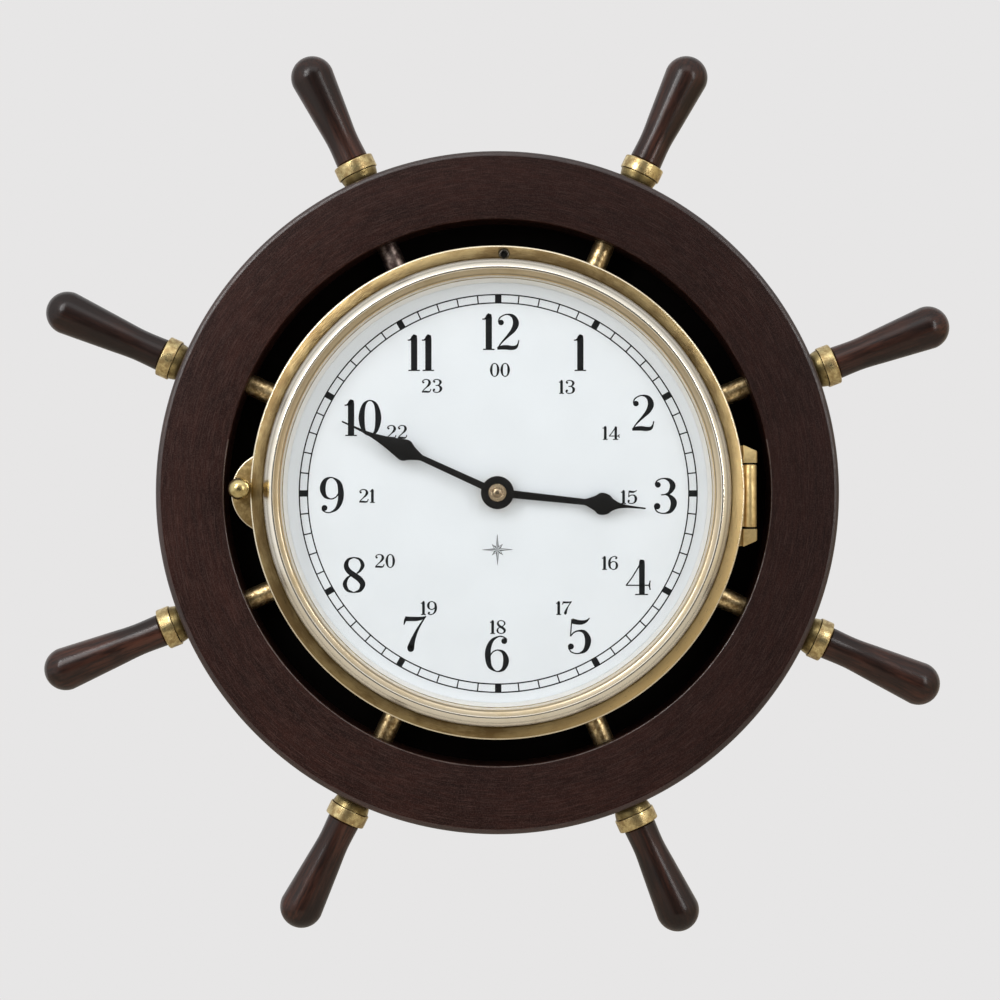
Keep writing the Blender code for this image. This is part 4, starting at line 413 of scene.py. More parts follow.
@dataclass(frozen=True)
class BoardPaint:
    """Black paint on the thin board behind the case."""

    name: str = "black_board"
    slot: str = "black_board"
    colour: Triple = (0.0012, 0.0008, 0.0006)
    roughness: float = 0.6
    specular: float = 0.04

    def material(self) -> bpy.types.Material:
        """Builds the material."""
        nodes = Shader(self.name, self.colour, self.roughness)
        patches = nodes.noise(nodes.place(), 320.0, 4.0)
        nodes.mottle(patches, 1.9)
        nodes.roughen(patches, 0.3, 0.7, 0.08, 0.12)
        nodes.bump(nodes.noise(nodes.place(), 900.0), 0.12, 0.0002)
        nodes.set("Specular IOR Level", self.specular)
        return nodes.material


@dataclass(frozen=True)
class Brass:
    """Lacquered brass, clean or with patches of tarnish.

    Attributes:
        clean: linear colour of bright brass.
        aged: linear colour of its patches.
        patch_scale: patches in a metre.
        patch_share: how much of it is patched, 0 to 1.
        turned_marks: depth of the turning marks round the clock, in metres.
        speckle: how much fine specks change its roughness.
    """

    name: str = "polished_brass"
    clean: Triple = (0.79, 0.60, 0.33)
    aged: Triple = (0.50, 0.33, 0.15)
    roughness: float = 0.16
    patch_scale: float = 90.0
    patch_share: float = 0.3
    turned_marks: float = 0.000015
    speckle: float = 0.045
    slot: str = "polished_brass"

    def material(self) -> bpy.types.Material:
        """Builds the material."""
        nodes = Shader(self.name, self.clean, self.roughness, 1.0)
        middle = 1.0 - self.patch_share
        patches = nodes.noise(nodes.place(), self.patch_scale, 4.0, 0.6)
        share = nodes.span(patches, middle - 0.22, middle + 0.12)
        nodes.set("Base Color", nodes.mix(share, self.clean, self.aged))
        fine = nodes.span(nodes.noise(nodes.place(), 1400.0, 2.0), 0.2, 0.8, -self.speckle, self.speckle)
        rough = nodes.maths("ADD", fine, nodes.span(share, 0.0, 1.0, 0.0, 0.12))
        nodes.set("Roughness", nodes.maths("ADD", rough, self.roughness))
        nodes.bump(nodes.ring_noise(14.0, 5200.0, 2.0, 0.5), 0.5, self.turned_marks)
        return nodes.material


@dataclass(frozen=True)
class AgedBrass(Brass):
    """Brass in the slot of the aged pieces."""

    slot: str = "aged_brass"


@dataclass(frozen=True)
class BrushedBrass:
    """Flat brass brushed round the clock, gone olive brown, with a painted highlight fan at the lower right.
    """

    name: str = "brushed_brass"
    slot: str = "polished_brass"
    clean: Triple = (0.385, 0.285, 0.135)
    aged: Triple = (0.20, 0.132, 0.056)
    # Colour of the painted highlight fan, and the way from the middle towards it.
    bright: Triple = (0.84, 0.62, 0.30)
    bright_way: Triple = (0.85, 0.0, -0.53)
    roughness: float = 0.33

    def material(self) -> bpy.types.Material:
        """Builds the material."""
        nodes = Shader(self.name, self.clean, self.roughness, 1.0)
        lines = nodes.ring_noise(24.0, 5200.0)
        marks = nodes.maths("ADD", nodes.ring_noise(7.0, 160.0, 4.0), nodes.maths("MULTIPLY", lines, 0.4))
        # Painted highlight: the band turns brighter towards the lower right, as light fanning off the
        # brushing would show there.
        towards = nodes.vector("DOT_PRODUCT", nodes.vector("NORMALIZE", nodes.flat()), self.bright_way)
        patched = nodes.mix(nodes.span(marks, 0.52, 0.86), self.clean, self.aged)
        nodes.set("Base Color", nodes.mix(nodes.span(towards, 0.55, 1.0, 0.0, 0.85), patched, self.bright))
        nodes.roughen(lines, 0.2, 0.8, 0.08, 0.1)
        nodes.bump(lines, 0.9, 0.00008)
        return nodes.material


@dataclass(frozen=True)
class Moulded:
    """A paint, plastic, rubber or card surface with a faint grain.

    Attributes:
        draw: how close the grain lies upwards against sideways: 1 for round features, less for long ones.
        smoother: how far the grain takes the roughness down.
        rougher: how far it takes it up.
    """

    name: str
    slot: str
    colour: Triple
    roughness: float
    grain: float = 900.0
    relief: float = 0.00004
    relief_share: float = 0.3
    shade: float = 0.85
    gloss: float = 0.5
    draw: float = 1.0
    smoother: float = 0.06
    rougher: float = 0.08
    metallic: float = 0.0

    def material(self) -> bpy.types.Material:
        """Builds the material."""
        nodes = Shader(self.name, self.colour, self.roughness, self.metallic)
        fine = nodes.noise(nodes.vector("MULTIPLY", nodes.place(), (1.0, 1.0, self.draw)), self.grain)
        nodes.mottle(fine, self.shade)
        nodes.roughen(fine, 0.2, 0.8, self.smoother, self.rougher)
        nodes.bump(fine, self.relief_share, self.relief)
        nodes.set("Specular IOR Level", self.gloss)
        return nodes.material


@dataclass(frozen=True)
class Metal(Moulded):
    """Plain metal with fine scratches: steel, blackened steel or copper wire."""

    grain: float = 1800.0
    relief: float = 0.00003
    relief_share: float = 0.2
    shade: float = 0.7
    draw: float = 0.2
    smoother: float = 0.07
    rougher: float = 0.12
    metallic: float = 1.0


@dataclass(frozen=True)
class DialPaint:
    """The dial's cool white paint, a little lighter towards its edge as painted light against the bezel's
    shade.
    """

    name: str = "dial_white"
    slot: str = "dial_white"
    colour: Triple = (0.765, 0.800, 0.835)
    # Colour of the painted light at the edge, and where it starts and ends.
    edge: Triple = (0.825, 0.860, 0.895)
    edge_start: float = 0.0745
    edge_end: float = 0.0790
    roughness: float = 0.5
    specular: float = 0.3

    def material(self) -> bpy.types.Material:
        """Builds the material."""
        nodes = Shader(self.name, self.colour, self.roughness)
        patches = nodes.span(nodes.noise(nodes.place(), 60.0), 0.35, 0.65)
        face = nodes.mix(patches, self.colour, tuple(0.975 * c for c in self.colour))
        # Painted light: lightens the paint towards the edge, where the bezel shades the dial.
        rim = nodes.span(nodes.vector("LENGTH", nodes.flat()), self.edge_start, self.edge_end)
        nodes.set("Base Color", nodes.mix(rim, face, self.edge))
        nodes.bump(nodes.noise(nodes.place(), 1300.0, 2.0), 0.06, 0.00004)
        nodes.set("Specular IOR Level", self.specular)
        return nodes.material


@dataclass(frozen=True)
class ClearGlass:
    """Window glass that lets the lamps through to the dial."""

    name: str = "clear_glass"
    slot: str = "glass"
    colour: Triple = (0.975, 0.99, 0.99)
    refraction: float = 1.45

    def material(self) -> bpy.types.Material:
        """Builds the material."""
        nodes = Shader(self.name, self.colour, 0.0)
        nodes.set("Transmission Weight", 1.0)
        nodes.set("IOR", self.refraction)
        rays = nodes.add("LightPath", {}).outputs
        either = nodes.maths("MAXIMUM", rays["Is Shadow Ray"], rays["Is Diffuse Ray"])
        nodes.give_way(either, nodes.add("BsdfTransparent", {}).outputs["BSDF"])
        return nodes.material


class Finish(Enum):
    """Every finish on the clock."""

    RIM_WOOD = RimWood()
    # Outer rounding: glossier wood whose lighter colour is a painted sheen.
    RIM_EDGE = RimWood("rim_edge", light=(0.040, 0.014, 0.010), roughness=0.36, specular=0.7)
    # Painted highlight: lighter, glossier wood for the lower inner edge, which catches the light from the
    # upper left.
    RIM_WORN = RimWood(
        "rim_worn", "rim_wood", (0.030, 0.014, 0.011), (0.075, 0.043, 0.037), (0.12, 0.08, 0.07), 0.27, 1.0
    )
    HANDLE_WOOD = HandleWood()
    BOARD = BoardPaint()
    POLISHED_BRASS = Brass()
    AGED_BRASS = AgedBrass("aged_brass", (0.66, 0.55, 0.32), (0.42, 0.27, 0.14), 0.27, 230.0, 0.4)
    BLOTCHED_BRASS = AgedBrass("blotched_brass", (0.68, 0.55, 0.275), (0.37, 0.26, 0.12), 0.27, 480.0, 0.46)
    WORN_BRASS = AgedBrass("worn_brass", (0.82, 0.64, 0.35), (0.30, 0.195, 0.088), 0.31, 620.0, 0.47)
    # Painted shade: dark brown brass for the bezel's groove, the ferrules' cups and the window ring's inner
    # edge.
    BROWN_BRASS = AgedBrass("brown_brass", (0.42, 0.33, 0.15), (0.20, 0.14, 0.055), 0.34, 260.0, 0.45)
    SATIN_BRASS = Brass("satin_brass", (0.72, 0.55, 0.265), (0.50, 0.355, 0.155), 0.4, 260.0, 0.42, 0.00006)
    TAB_BRASS = Brass("tab_brass", (0.42, 0.305, 0.135), (0.22, 0.148, 0.058), 0.38, 420.0, 0.5, 0.00006)
    STAINED_BRASS = AgedBrass("stained_brass", (0.34, 0.27, 0.24), (0.07, 0.045, 0.042), 0.34, 420.0, 0.5)
    BALL_BRASS = Brass("ball_brass", (0.60, 0.485, 0.23), (0.40, 0.30, 0.125), 0.22, 300.0, 0.35)
    # Painted highlight: pale brass for the bezel's outer edge and the tab's bevel, standing in for their
    # bright edge lines.
    EDGE_BRASS = Brass("edge_brass", (0.80, 0.71, 0.53), (0.68, 0.57, 0.38), 0.27, 90.0, 0.3, 0.000005, 0.015)
    NUT_BRASS = AgedBrass(
        "nut_brass", (0.45, 0.35, 0.235), (0.30, 0.215, 0.14), 0.22, 300.0, 0.4, 0.000004, 0.015
    )
    # Painted highlight: nearly white brass for the bezel's bright slope, standing in for its clipped
    # reflections.
    PALE_BRASS = Brass("pale_brass", (0.92, 0.86, 0.74), (0.84, 0.75, 0.58), 0.2, 90.0, 0.25, speckle=0.02)
    # Painted shade: duller, darker brass for the bezel's cove.
    COVE_BRASS = Brass(
        "cove_brass", (0.57, 0.48, 0.34), (0.48, 0.385, 0.24), 0.3, 90.0, 0.35, 0.000002, 0.008
    )
    CREAM_LACQUER = Moulded("cream_lacquer", "polished_brass", (0.90, 0.88, 0.84), 0.4, 300.0, shade=0.95)
    # Painted light: cream, unmetallic paint for the brass window ring, lifting the lip's shadow and the dark
    # front that it would mirror.
    CREAM_METAL = Moulded("cream_metal", "polished_brass", (0.88, 0.83, 0.74), 0.35, 300.0, shade=0.9)
    BRUSHED_BRASS = BrushedBrass()
    STEEL = Metal("steel", "steel", (0.56, 0.56, 0.57), 0.3)
    DARK_STEEL = Metal("dark_steel", "dark_steel", (0.024, 0.022, 0.020), 0.4)
    GUN_STEEL = Metal("gun_steel", "dark_steel", (0.21, 0.185, 0.155), 0.3)
    COPPER = Metal("copper_wire", "copper_wire", (0.60, 0.26, 0.13), 0.33)
    GLASS = ClearGlass()
    DIAL = DialPaint()
    PRINT = Moulded("print_black", "hand_black", (0.0075, 0.0085, 0.0095), 0.7, relief=0.00001, gloss=0.1)
    HAND = Moulded("hand_black", "hand_black", (0.0034, 0.0030, 0.0028), 0.42, relief=0.00002, gloss=0.18)
    BLACK_PLASTIC = Moulded("black_plastic", "black_plastic", (0.018, 0.018, 0.019), 0.48)
    WHITE_PLASTIC = Moulded("white_plastic", "white_plastic", (0.74, 0.74, 0.70), 0.42, shade=0.94)
    RUBBER = Moulded("rubber", "rubber", (0.026, 0.026, 0.026), 0.8, relief=0.0001)
    BATTERY_CARD = Moulded("battery_label", "battery_label", (0.045, 0.085, 0.055), 0.4)
    CIRCUIT = Moulded("circuit_green", "circuit_green", (0.028, 0.15, 0.065), 0.42, 1500.0)


@cache
def material_of(finish: Finish) -> bpy.types.Material:
    """The finish's material, built once."""
    return finish.value.material()


def placed(name: str, data: bpy.types.ID) -> bpy.types.Object:
    """Adds an object to the scene."""
    thing = bpy.data.objects.new(name, data)
    bpy.context.scene.collection.objects.link(thing)
    return thing


class Form:
    """A mesh being shaped with bmesh operators, and its way into the scene."""

    def __init__(self, *finishes: Finish) -> None:
        """Starts empty, with the finish that its faces have first."""
        self.mesh = bmesh.new()
        self.own = self.mesh.verts.layers.float_vector.new("turned_place")
        self.finishes = list(finishes)

    def _keep(self, before: set[bmesh.types.BMVert], place: Matrix, offset: float = 0.0) -> "Form":
        """Welds the points that are new, notes their own place and moves them.

        Args:
            before: the points there were.
            place: where the new shape goes.
            offset: moves its pattern, so that like pieces differ.

        Returns:
            The form.
        """
        fresh = [vertex for vertex in self.mesh.verts if vertex not in before]
        bmesh.ops.remove_doubles(self.mesh, verts=fresh, dist=WELD)
        fresh = [vertex for vertex in self.mesh.verts if vertex not in before]
        for vertex in fresh:
            vertex[self.own] = vertex.co + Vector((offset, 0.0, offset))
        bmesh.ops.transform(self.mesh, matrix=place, verts=fresh)
        return self

    def turned(
        self, section: Sequence[Point], steps: int = RING_STEPS, place: Matrix = FRONT, offset: float = 0.0
    ) -> "Form":
        """Spins a section about its own z axis.

        Args:
            section: closed outline of (radius, height) points, or one that ends on the axis twice.
            steps: facets round it.
            place: where the shape goes.
            offset: moves its pattern.

        Returns:
            The form.
        """
        before = set(self.mesh.verts)
        points = [self.mesh.verts.new((radius, 0.0, height)) for radius, height in section]
        edges = [self.mesh.edges.new(pair) for pair in zip(points, points[1:], strict=False)]
        if section[0][0] > 0 or section[-1][0] > 0:
            edges.append(self.mesh.edges.new((points[-1], points[0])))
        about = {"cent": (0.0, 0.0, 0.0), "axis": (0.0, 0.0, 1.0), "angle": math.tau}
        bmesh.ops.spin(self.mesh, geom=[*points, *edges], steps=steps, use_merge=True, **about)
        return self._keep(before, place, offset)

    def plate(
        self, outlines: Sequence[Sequence[Point]], low: float, high: float, edge: float = 0.0,
        place: Matrix = FRONT,
    ) -> "Form":
        """Extrudes a flat outline, with holes where further outlines lie in it.

        Args:
            outlines: the outer outline and its holes.
            low: height of its lower face.
            high: height of its upper face.
            edge: width of the rounding on the upper face's edges.
            place: where the shape goes.

        Returns:
            The form.
        """
        before = set(self.mesh.verts)
        lines = []
        for outline in outlines:
            points = [self.mesh.verts.new((x, y, low)) for x, y in outline]
            lines += [self.mesh.edges.new(pair) for pair in zip(points, points[1:] + points[:1], strict=True)]
        whole = len(outlines) == 1
        filled = bmesh.ops.triangle_fill(self.mesh, edges=lines, use_beauty=True, use_dissolve=whole)
        raised = self._raise([f for f in filled["geom"] if isinstance(f, bmesh.types.BMFace)], high - low)
        if edge:
            rim = {e for f in raised for e in f.edges if sum(g in raised for g in e.link_faces) == 1}
            how = {"affect": "EDGES", "segments": 3, "profile": 0.5, "material": -1, "clamp_overlap": True}
            bmesh.ops.bevel(self.mesh, geom=list(rim), offset=edge, **how)
        return self._keep(before, place)

    def _raise(self, faces: list[bmesh.types.BMFace], height: float) -> set[bmesh.types.BMFace]:
        """Extrudes flat faces upwards and gives the new top."""
        grown = bmesh.ops.extrude_face_region(self.mesh, geom=faces)["geom"]
        top = [item for item in grown if isinstance(item, bmesh.types.BMVert)]
        bmesh.ops.translate(self.mesh, vec=(0.0, 0.0, height), verts=top)
        return {item for item in grown if isinstance(item, bmesh.types.BMFace)}

    def stroke(
        self, line: Sequence[Triple], low: float, high: float, place: Matrix = FRONT, closed: bool = False
    ) -> "Form":
        """A pen stroke of changing width.

        Args:
            line: (right, up, half-width) along its middle.
            low: height of its lower face.
            high: height of its upper face.
            place: where the shape goes.
            closed: whether it runs back into its start.

        Returns:
            The form.
        """
        before = set(self.mesh.verts)
        count = len(line)
        sides: tuple[list, list] = ([], [])
        for number, (x, y, half) in enumerate(line):
            ahead = line[(number + 1) % count if closed else min(number + 1, count - 1)]
            behind = line[(number - 1) % count if closed else max(number - 1, 0)]
            way = Vector((ahead[0] - behind[0], ahead[1] - behind[1])).normalized() * half
            sides[0].append(self.mesh.verts.new((x - way.y, y + way.x, low)))
            sides[1].append(self.mesh.verts.new((x + way.y, y - way.x, low)))
        edges = []
        for side in sides:
            following = side[1:] + side[:1] if closed else side[1:]
            edges += [self.mesh.edges.new(pair) for pair in zip(side, following, strict=False)]
        self._raise(bmesh.ops.bridge_loops(self.mesh, edges=edges)["faces"], high - low)
        return self._keep(before, place)

    def index(self, finish: Finish) -> int:
        """The finish's index on this form, which it takes up if it is new."""
        if finish not in self.finishes:
            self.finishes.append(finish)
        return self.finishes.index(finish)

    def paint(self, choose: Callable[[Vector], Finish]) -> "Form":
        """Gives each face the finish that a rule on its middle names."""
        for face in self.mesh.faces:
            face.material_index = self.index(choose(face.calc_center_median()))
        return self

    def paint_near(self, place: Matrix, radius: float, finish: Finish) -> "Form":
        """Gives one finish to the faces with all their points within a radius of a place's z axis."""
        back = place.inverted()
        for face in self.mesh.faces:
            if all(math.hypot(*(back @ vertex.co).xy) < radius for vertex in face.verts):
                face.material_index = self.index(finish)
        return self

    def join(self, other: "Form") -> "Form":
        """Takes another form's shells into this one and uses it up."""
        indices = [self.index(finish) for finish in other.finishes]
        for face in other.mesh.faces:
            face.material_index = indices[face.material_index]
        mesh = bpy.data.meshes.new("joined")
        other.mesh.to_mesh(mesh)
        other.mesh.free()
        self.mesh.from_mesh(mesh)
        bpy.data.meshes.remove(mesh)
        return self

    def cut(self, cutter: "Form") -> "Form":
        """Cuts another form out of this one with an exact Boolean.

        Args:
            cutter: the closed form to take away, which is used up.

        Returns:
            The form.
        """
        pair = []
        for name, form in (("cut_body", self), ("cut_tool", cutter)):
            bmesh.ops.recalc_face_normals(form.mesh, faces=form.mesh.faces)
            pair.append(placed(name, bpy.data.meshes.new(name)))
            form.mesh.to_mesh(pair[-1].data)
            form.mesh.free()
        body, tool = pair
        boolean = body.modifiers.new("cut", "BOOLEAN")
        boolean.operation = "DIFFERENCE"
        boolean.solver = "EXACT"
        boolean.object = tool
        bpy.context.view_layer.update()
        done = bpy.data.meshes.new_from_object(body.evaluated_get(bpy.context.evaluated_depsgraph_get()))
        self.mesh = bmesh.new()
        self.mesh.from_mesh(done)
        self.own = self.mesh.verts.layers.float_vector.get("turned_place")
        for mesh in (done, body.data, tool.data):
            bpy.data.meshes.remove(mesh)
        return self

    def piece(
        self, name: str, stands_for: Sequence[str] = (), body: Body = Body.WHEEL, crease: float = 32.0
    ) -> None:
        """Ends the form as a smooth-shaded piece of the clock.

        Args:
            name: the piece's name.
            stands_for: CAD nodes that it replaces.
            body: the body that it rides on.
            crease: angle in degrees from which an edge stays sharp.
        """
        bmesh.ops.recalc_face_normals(self.mesh, faces=self.mesh.faces)
        for face in self.mesh.faces:
            face.smooth = True
        for edge in self.mesh.edges:
            edge.smooth = len(edge.link_faces) == 2 and edge.calc_face_angle(0.0) < math.radians(crease)
        mesh = bpy.data.meshes.new(name)
        self.mesh.to_mesh(mesh)
        self.mesh.free()
        for finish in self.finishes:
            mesh.materials.append(material_of(finish))
        thing = placed(name, mesh)
        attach(thing, body.value)
        if stands_for:
            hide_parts(*stands_for)
        LOG.info("%s rides on %s, %d faces", name, body.value, len(mesh.polygons))


@dataclass(frozen=True)
class WheelRim:
    """The turned wooden rim and the black board let into its back."""

    bore: float = 0.1015
    thickness: float = 0.026
    outer_round: float = 0.002
    inner_round: float = 0.0005
    back_round: float = 0.001
    # Height under which the inner edge takes the painted highlight.
    worn_below: float = 0.02
    rabbet: float = 0.0022
    board_thickness: float = 0.005
    board_edge: float = 0.0004
    socket_radius: float = 0.0047
    socket_depth: float = 0.0128
    socket_mouth: float = 0.006
    spoke_hole: float = 0.0043
    spoke_seat: float = 0.0068
    spoke_mouth: float = 0.004

    def finish_at(self, middle: Vector) -> Finish:
        """The finish at a face's middle: polished, with a lighter painted sheen, on the outer rounding, and a
        painted highlight on the lower inner edge.
        """
        radius, depth = math.hypot(middle.x, middle.z), -middle.y
        # The outer rounding takes the glossier wood and its painted sheen.
        if radius > RIM_RADIUS - self.outer_round and depth > self.thickness - 0.7 * self.outer_round:
            return Finish.RIM_EDGE
        inner = radius < self.bore + self.inner_round and depth > self.thickness - self.inner_round
        # Below that height the inner edge takes the painted highlight.
        return Finish.RIM_WORN if inner and middle.z < self.worn_below else Finish.RIM_WOOD

    def build(self, handles: "Handles", spokes: "Spokes", hanger: "Hanger") -> None:
        """Makes the rim and the board.

        Args:
            handles: whose tenons need sockets.
            spokes: whose ends need sockets.
            hanger: whose plate needs a seat in the back.
        """
        front, outer, inner, back = self.thickness, self.outer_round, self.inner_round, self.back_round
        ledge, step = self.bore + self.rabbet, self.board_thickness + GAP
        section = [
            *arc((self.bore + inner, front - inner), inner, 180, 90, 5),
            *arc((RIM_RADIUS - outer, front - outer), outer, 90, 0, 8),
            *arc((RIM_RADIUS - back, back), back, 0, -90, 5),
            (ledge, 0.0), (ledge, step), (self.bore, step),
        ]
        sockets = Form()
        for number in range(HANDLE_COUNT):
            socket = bar(self.socket_radius, -self.socket_depth, self.socket_mouth)
            sockets.turned(socket, ROD_STEPS, handles.place(number))
            hole = bar(self.spoke_hole, self.bore - self.spoke_mouth, self.bore + self.spoke_seat)
            sockets.turned(hole, ROD_STEPS, spokes.place(number))
        rim = Form(Finish.RIM_WOOD).turned(section).paint(self.finish_at)
        rim.cut(sockets).cut(hanger.seat()).cut(hanger.pocket()).piece("rim", ["wheel_rim"])
        side = rounded(ledge - GAP, self.board_thickness, 0.0, self.board_edge)
        board = Form(Finish.BOARD).turned([(0.0, self.board_thickness), *side, (0.0, 0.0)])
        board.piece("board", ["back_board"])


@dataclass(frozen=True)
class Handles:
    """Eight turned handles on brass ferrules, each standing a little out of true as on the real wheel.

    Attributes:
        turns: degrees from the even pitch, for each handle.
        leans: degrees from the radius, for each handle.
        reaches: extra length, for each handle.
        cup: the ferrule's base under its band, as (inwards, height) points.
    """

    depth: float = 0.013
    length: float = 0.0538
    end_radius: float = 0.0081
    middle_radius: float = 0.0066
    neck_radius: float = 0.0059
    foot_radius: float = 0.0061
    foot_edge: float = 0.0004
    tenon_radius: float = 0.0044
    tenon_length: float = 0.0125
    ferrule_height: float = 0.0084
    ferrule_ring: float = 0.0077
    ferrule_base: float = 0.0072
    ferrule_edge: float = 0.0005
    cup: tuple[Point, ...] = ((0.0001, 0.0036), (0.0002, 0.0029), (0.0006, 0.0013), (0.0011, GAP))
    pattern_step: float = 0.31
    turns: tuple[float, ...] = (-1.5, -1.5, 1.0, 0.3, -0.2, -2.5, 0.5, -2.0)
    leans: tuple[float, ...] = (-0.1, -1.7, 2.0, -1.8, -0.4, -1.3, 1.4, 0.5)
    reaches: tuple[float, ...] = (0.0004, -0.0014, -0.0020, 0.0023, 0.0024, -0.0008, -0.0020, 0.0009)

    def place(self, number: int) -> Matrix:
        """Where a handle stands on the rim, its z axis outwards."""
        pitch = FIRST_ANGLE + 360 / HANDLE_COUNT * number
        return radial_place(pitch + self.turns[number], RIM_RADIUS, self.depth, self.leans[number])

    def section(self, number: int) -> list[Point]:
        """A handle's section, from its rounded end to its tenon."""
        foot = self.ferrule_height + 2 * GAP
        centre = self.length + self.reaches[number] - self.end_radius
        slope = (centre - foot) / 4
        belly = [
            (self.end_radius, centre),
            ((self.end_radius + self.middle_radius) / 2, foot + 3 * slope),
            (self.middle_radius, foot + 2 * slope),
            (self.neck_radius, foot + slope),
            (self.foot_radius, foot + self.foot_edge),
        ]
        end = arc((0.0, centre), self.end_radius, 90, 6, 14)
        tenon = reversed(bar(self.tenon_radius, -self.tenon_length, foot)[:3])
        side = [*end[1:], *eased(belly, 7), (self.foot_radius - self.foot_edge, foot)]
        return [(0.0, end[0][1]), *side, *tenon]

    def ferrule_section(self) -> list[Point]:
        """The ferrule's section: a cupped base that runs in under a wider band with eased edges."""
        inner, top = self.tenon_radius + GAP, self.ferrule_height + GAP
        edge, under = self.ferrule_edge, self.cup[0][1]
        cup = [(self.ferrule_base - inwards, height) for inwards, height in self.cup]
        return [
            (inner, top),
            *arc((self.ferrule_ring - edge, top - edge), edge, 90, 0, 5),
            *arc((self.ferrule_ring - edge, under + edge), edge, 0, -80, 5),
            *eased(cup, 4),
            (inner, GAP),
        ]

    def build(self) -> None:
        """Makes each handle and each ferrule, its cup in dark brown brass as painted shade."""
        for number in range(1, HANDLE_COUNT + 1):
            place, shift = self.place(number - 1), self.pattern_step * number
            handle = Form(Finish.HANDLE_WOOD).turned(self.section(number - 1), ROD_STEPS, place, shift)
            handle.piece(f"grip_{number}", [f"handle_{number}"])

            def finish_at(middle: Vector, back: Matrix = place.inverted()) -> Finish:
                """The ferrule's finish at a face's middle."""
                # The cup under the band takes the dark brown brass as painted shade.
                return Finish.BROWN_BRASS if (back @ middle).z < self.cup[0][1] else Finish.BLOTCHED_BRASS

            ferrule = Form(Finish.BLOTCHED_BRASS).turned(self.ferrule_section(), ROD_STEPS, place, shift)
            ferrule.paint(finish_at).piece(f"collar_{number}", [f"ferrule_{number}"])


@dataclass(frozen=True)
class Spokes:
    """Eight short brass spokes between the case and the rim.

    Attributes:
        turns: degrees from the even pitch, for each spoke.
        stained: the one that has gone dark, at 11 o'clock.
    """

    depth: float = 0.014
    radius: float = 0.004
    edge: float = 0.0004
    outer: float = 0.108
    thread_radius: float = 0.002
    thread_end: float = 0.079
    pattern_step: float = 0.17
    turns: tuple[float, ...] = (0.7, -0.9, 1.6, -1.1, 0.9, -2.5, 0.7, -2.5)
    stained: int = 2

    def place(self, number: int) -> Matrix:
        """A spoke's line, its z axis outwards from the clock's axis."""
        return radial_place(FIRST_ANGLE + 360 / HANDLE_COUNT * number + self.turns[number], 0.0, self.depth)

    def build(self) -> None:
        """Makes each spoke."""
        inner = CASE_RADIUS + GAP
        thread = reversed(bar(self.thread_radius, self.thread_end, inner)[:3])
        section = [(0.0, self.outer), *rounded(self.radius, self.outer, inner, self.edge), *thread]
        for number in range(HANDLE_COUNT):
            finish = Finish.STAINED_BRASS if number == self.stained else Finish.WORN_BRASS
            spoke = Form(finish).turned(section, ROD_STEPS, self.place(number), self.pattern_step * number)
            spoke.piece(f"stub_{number + 1}", [f"spoke_{number + 1}"])


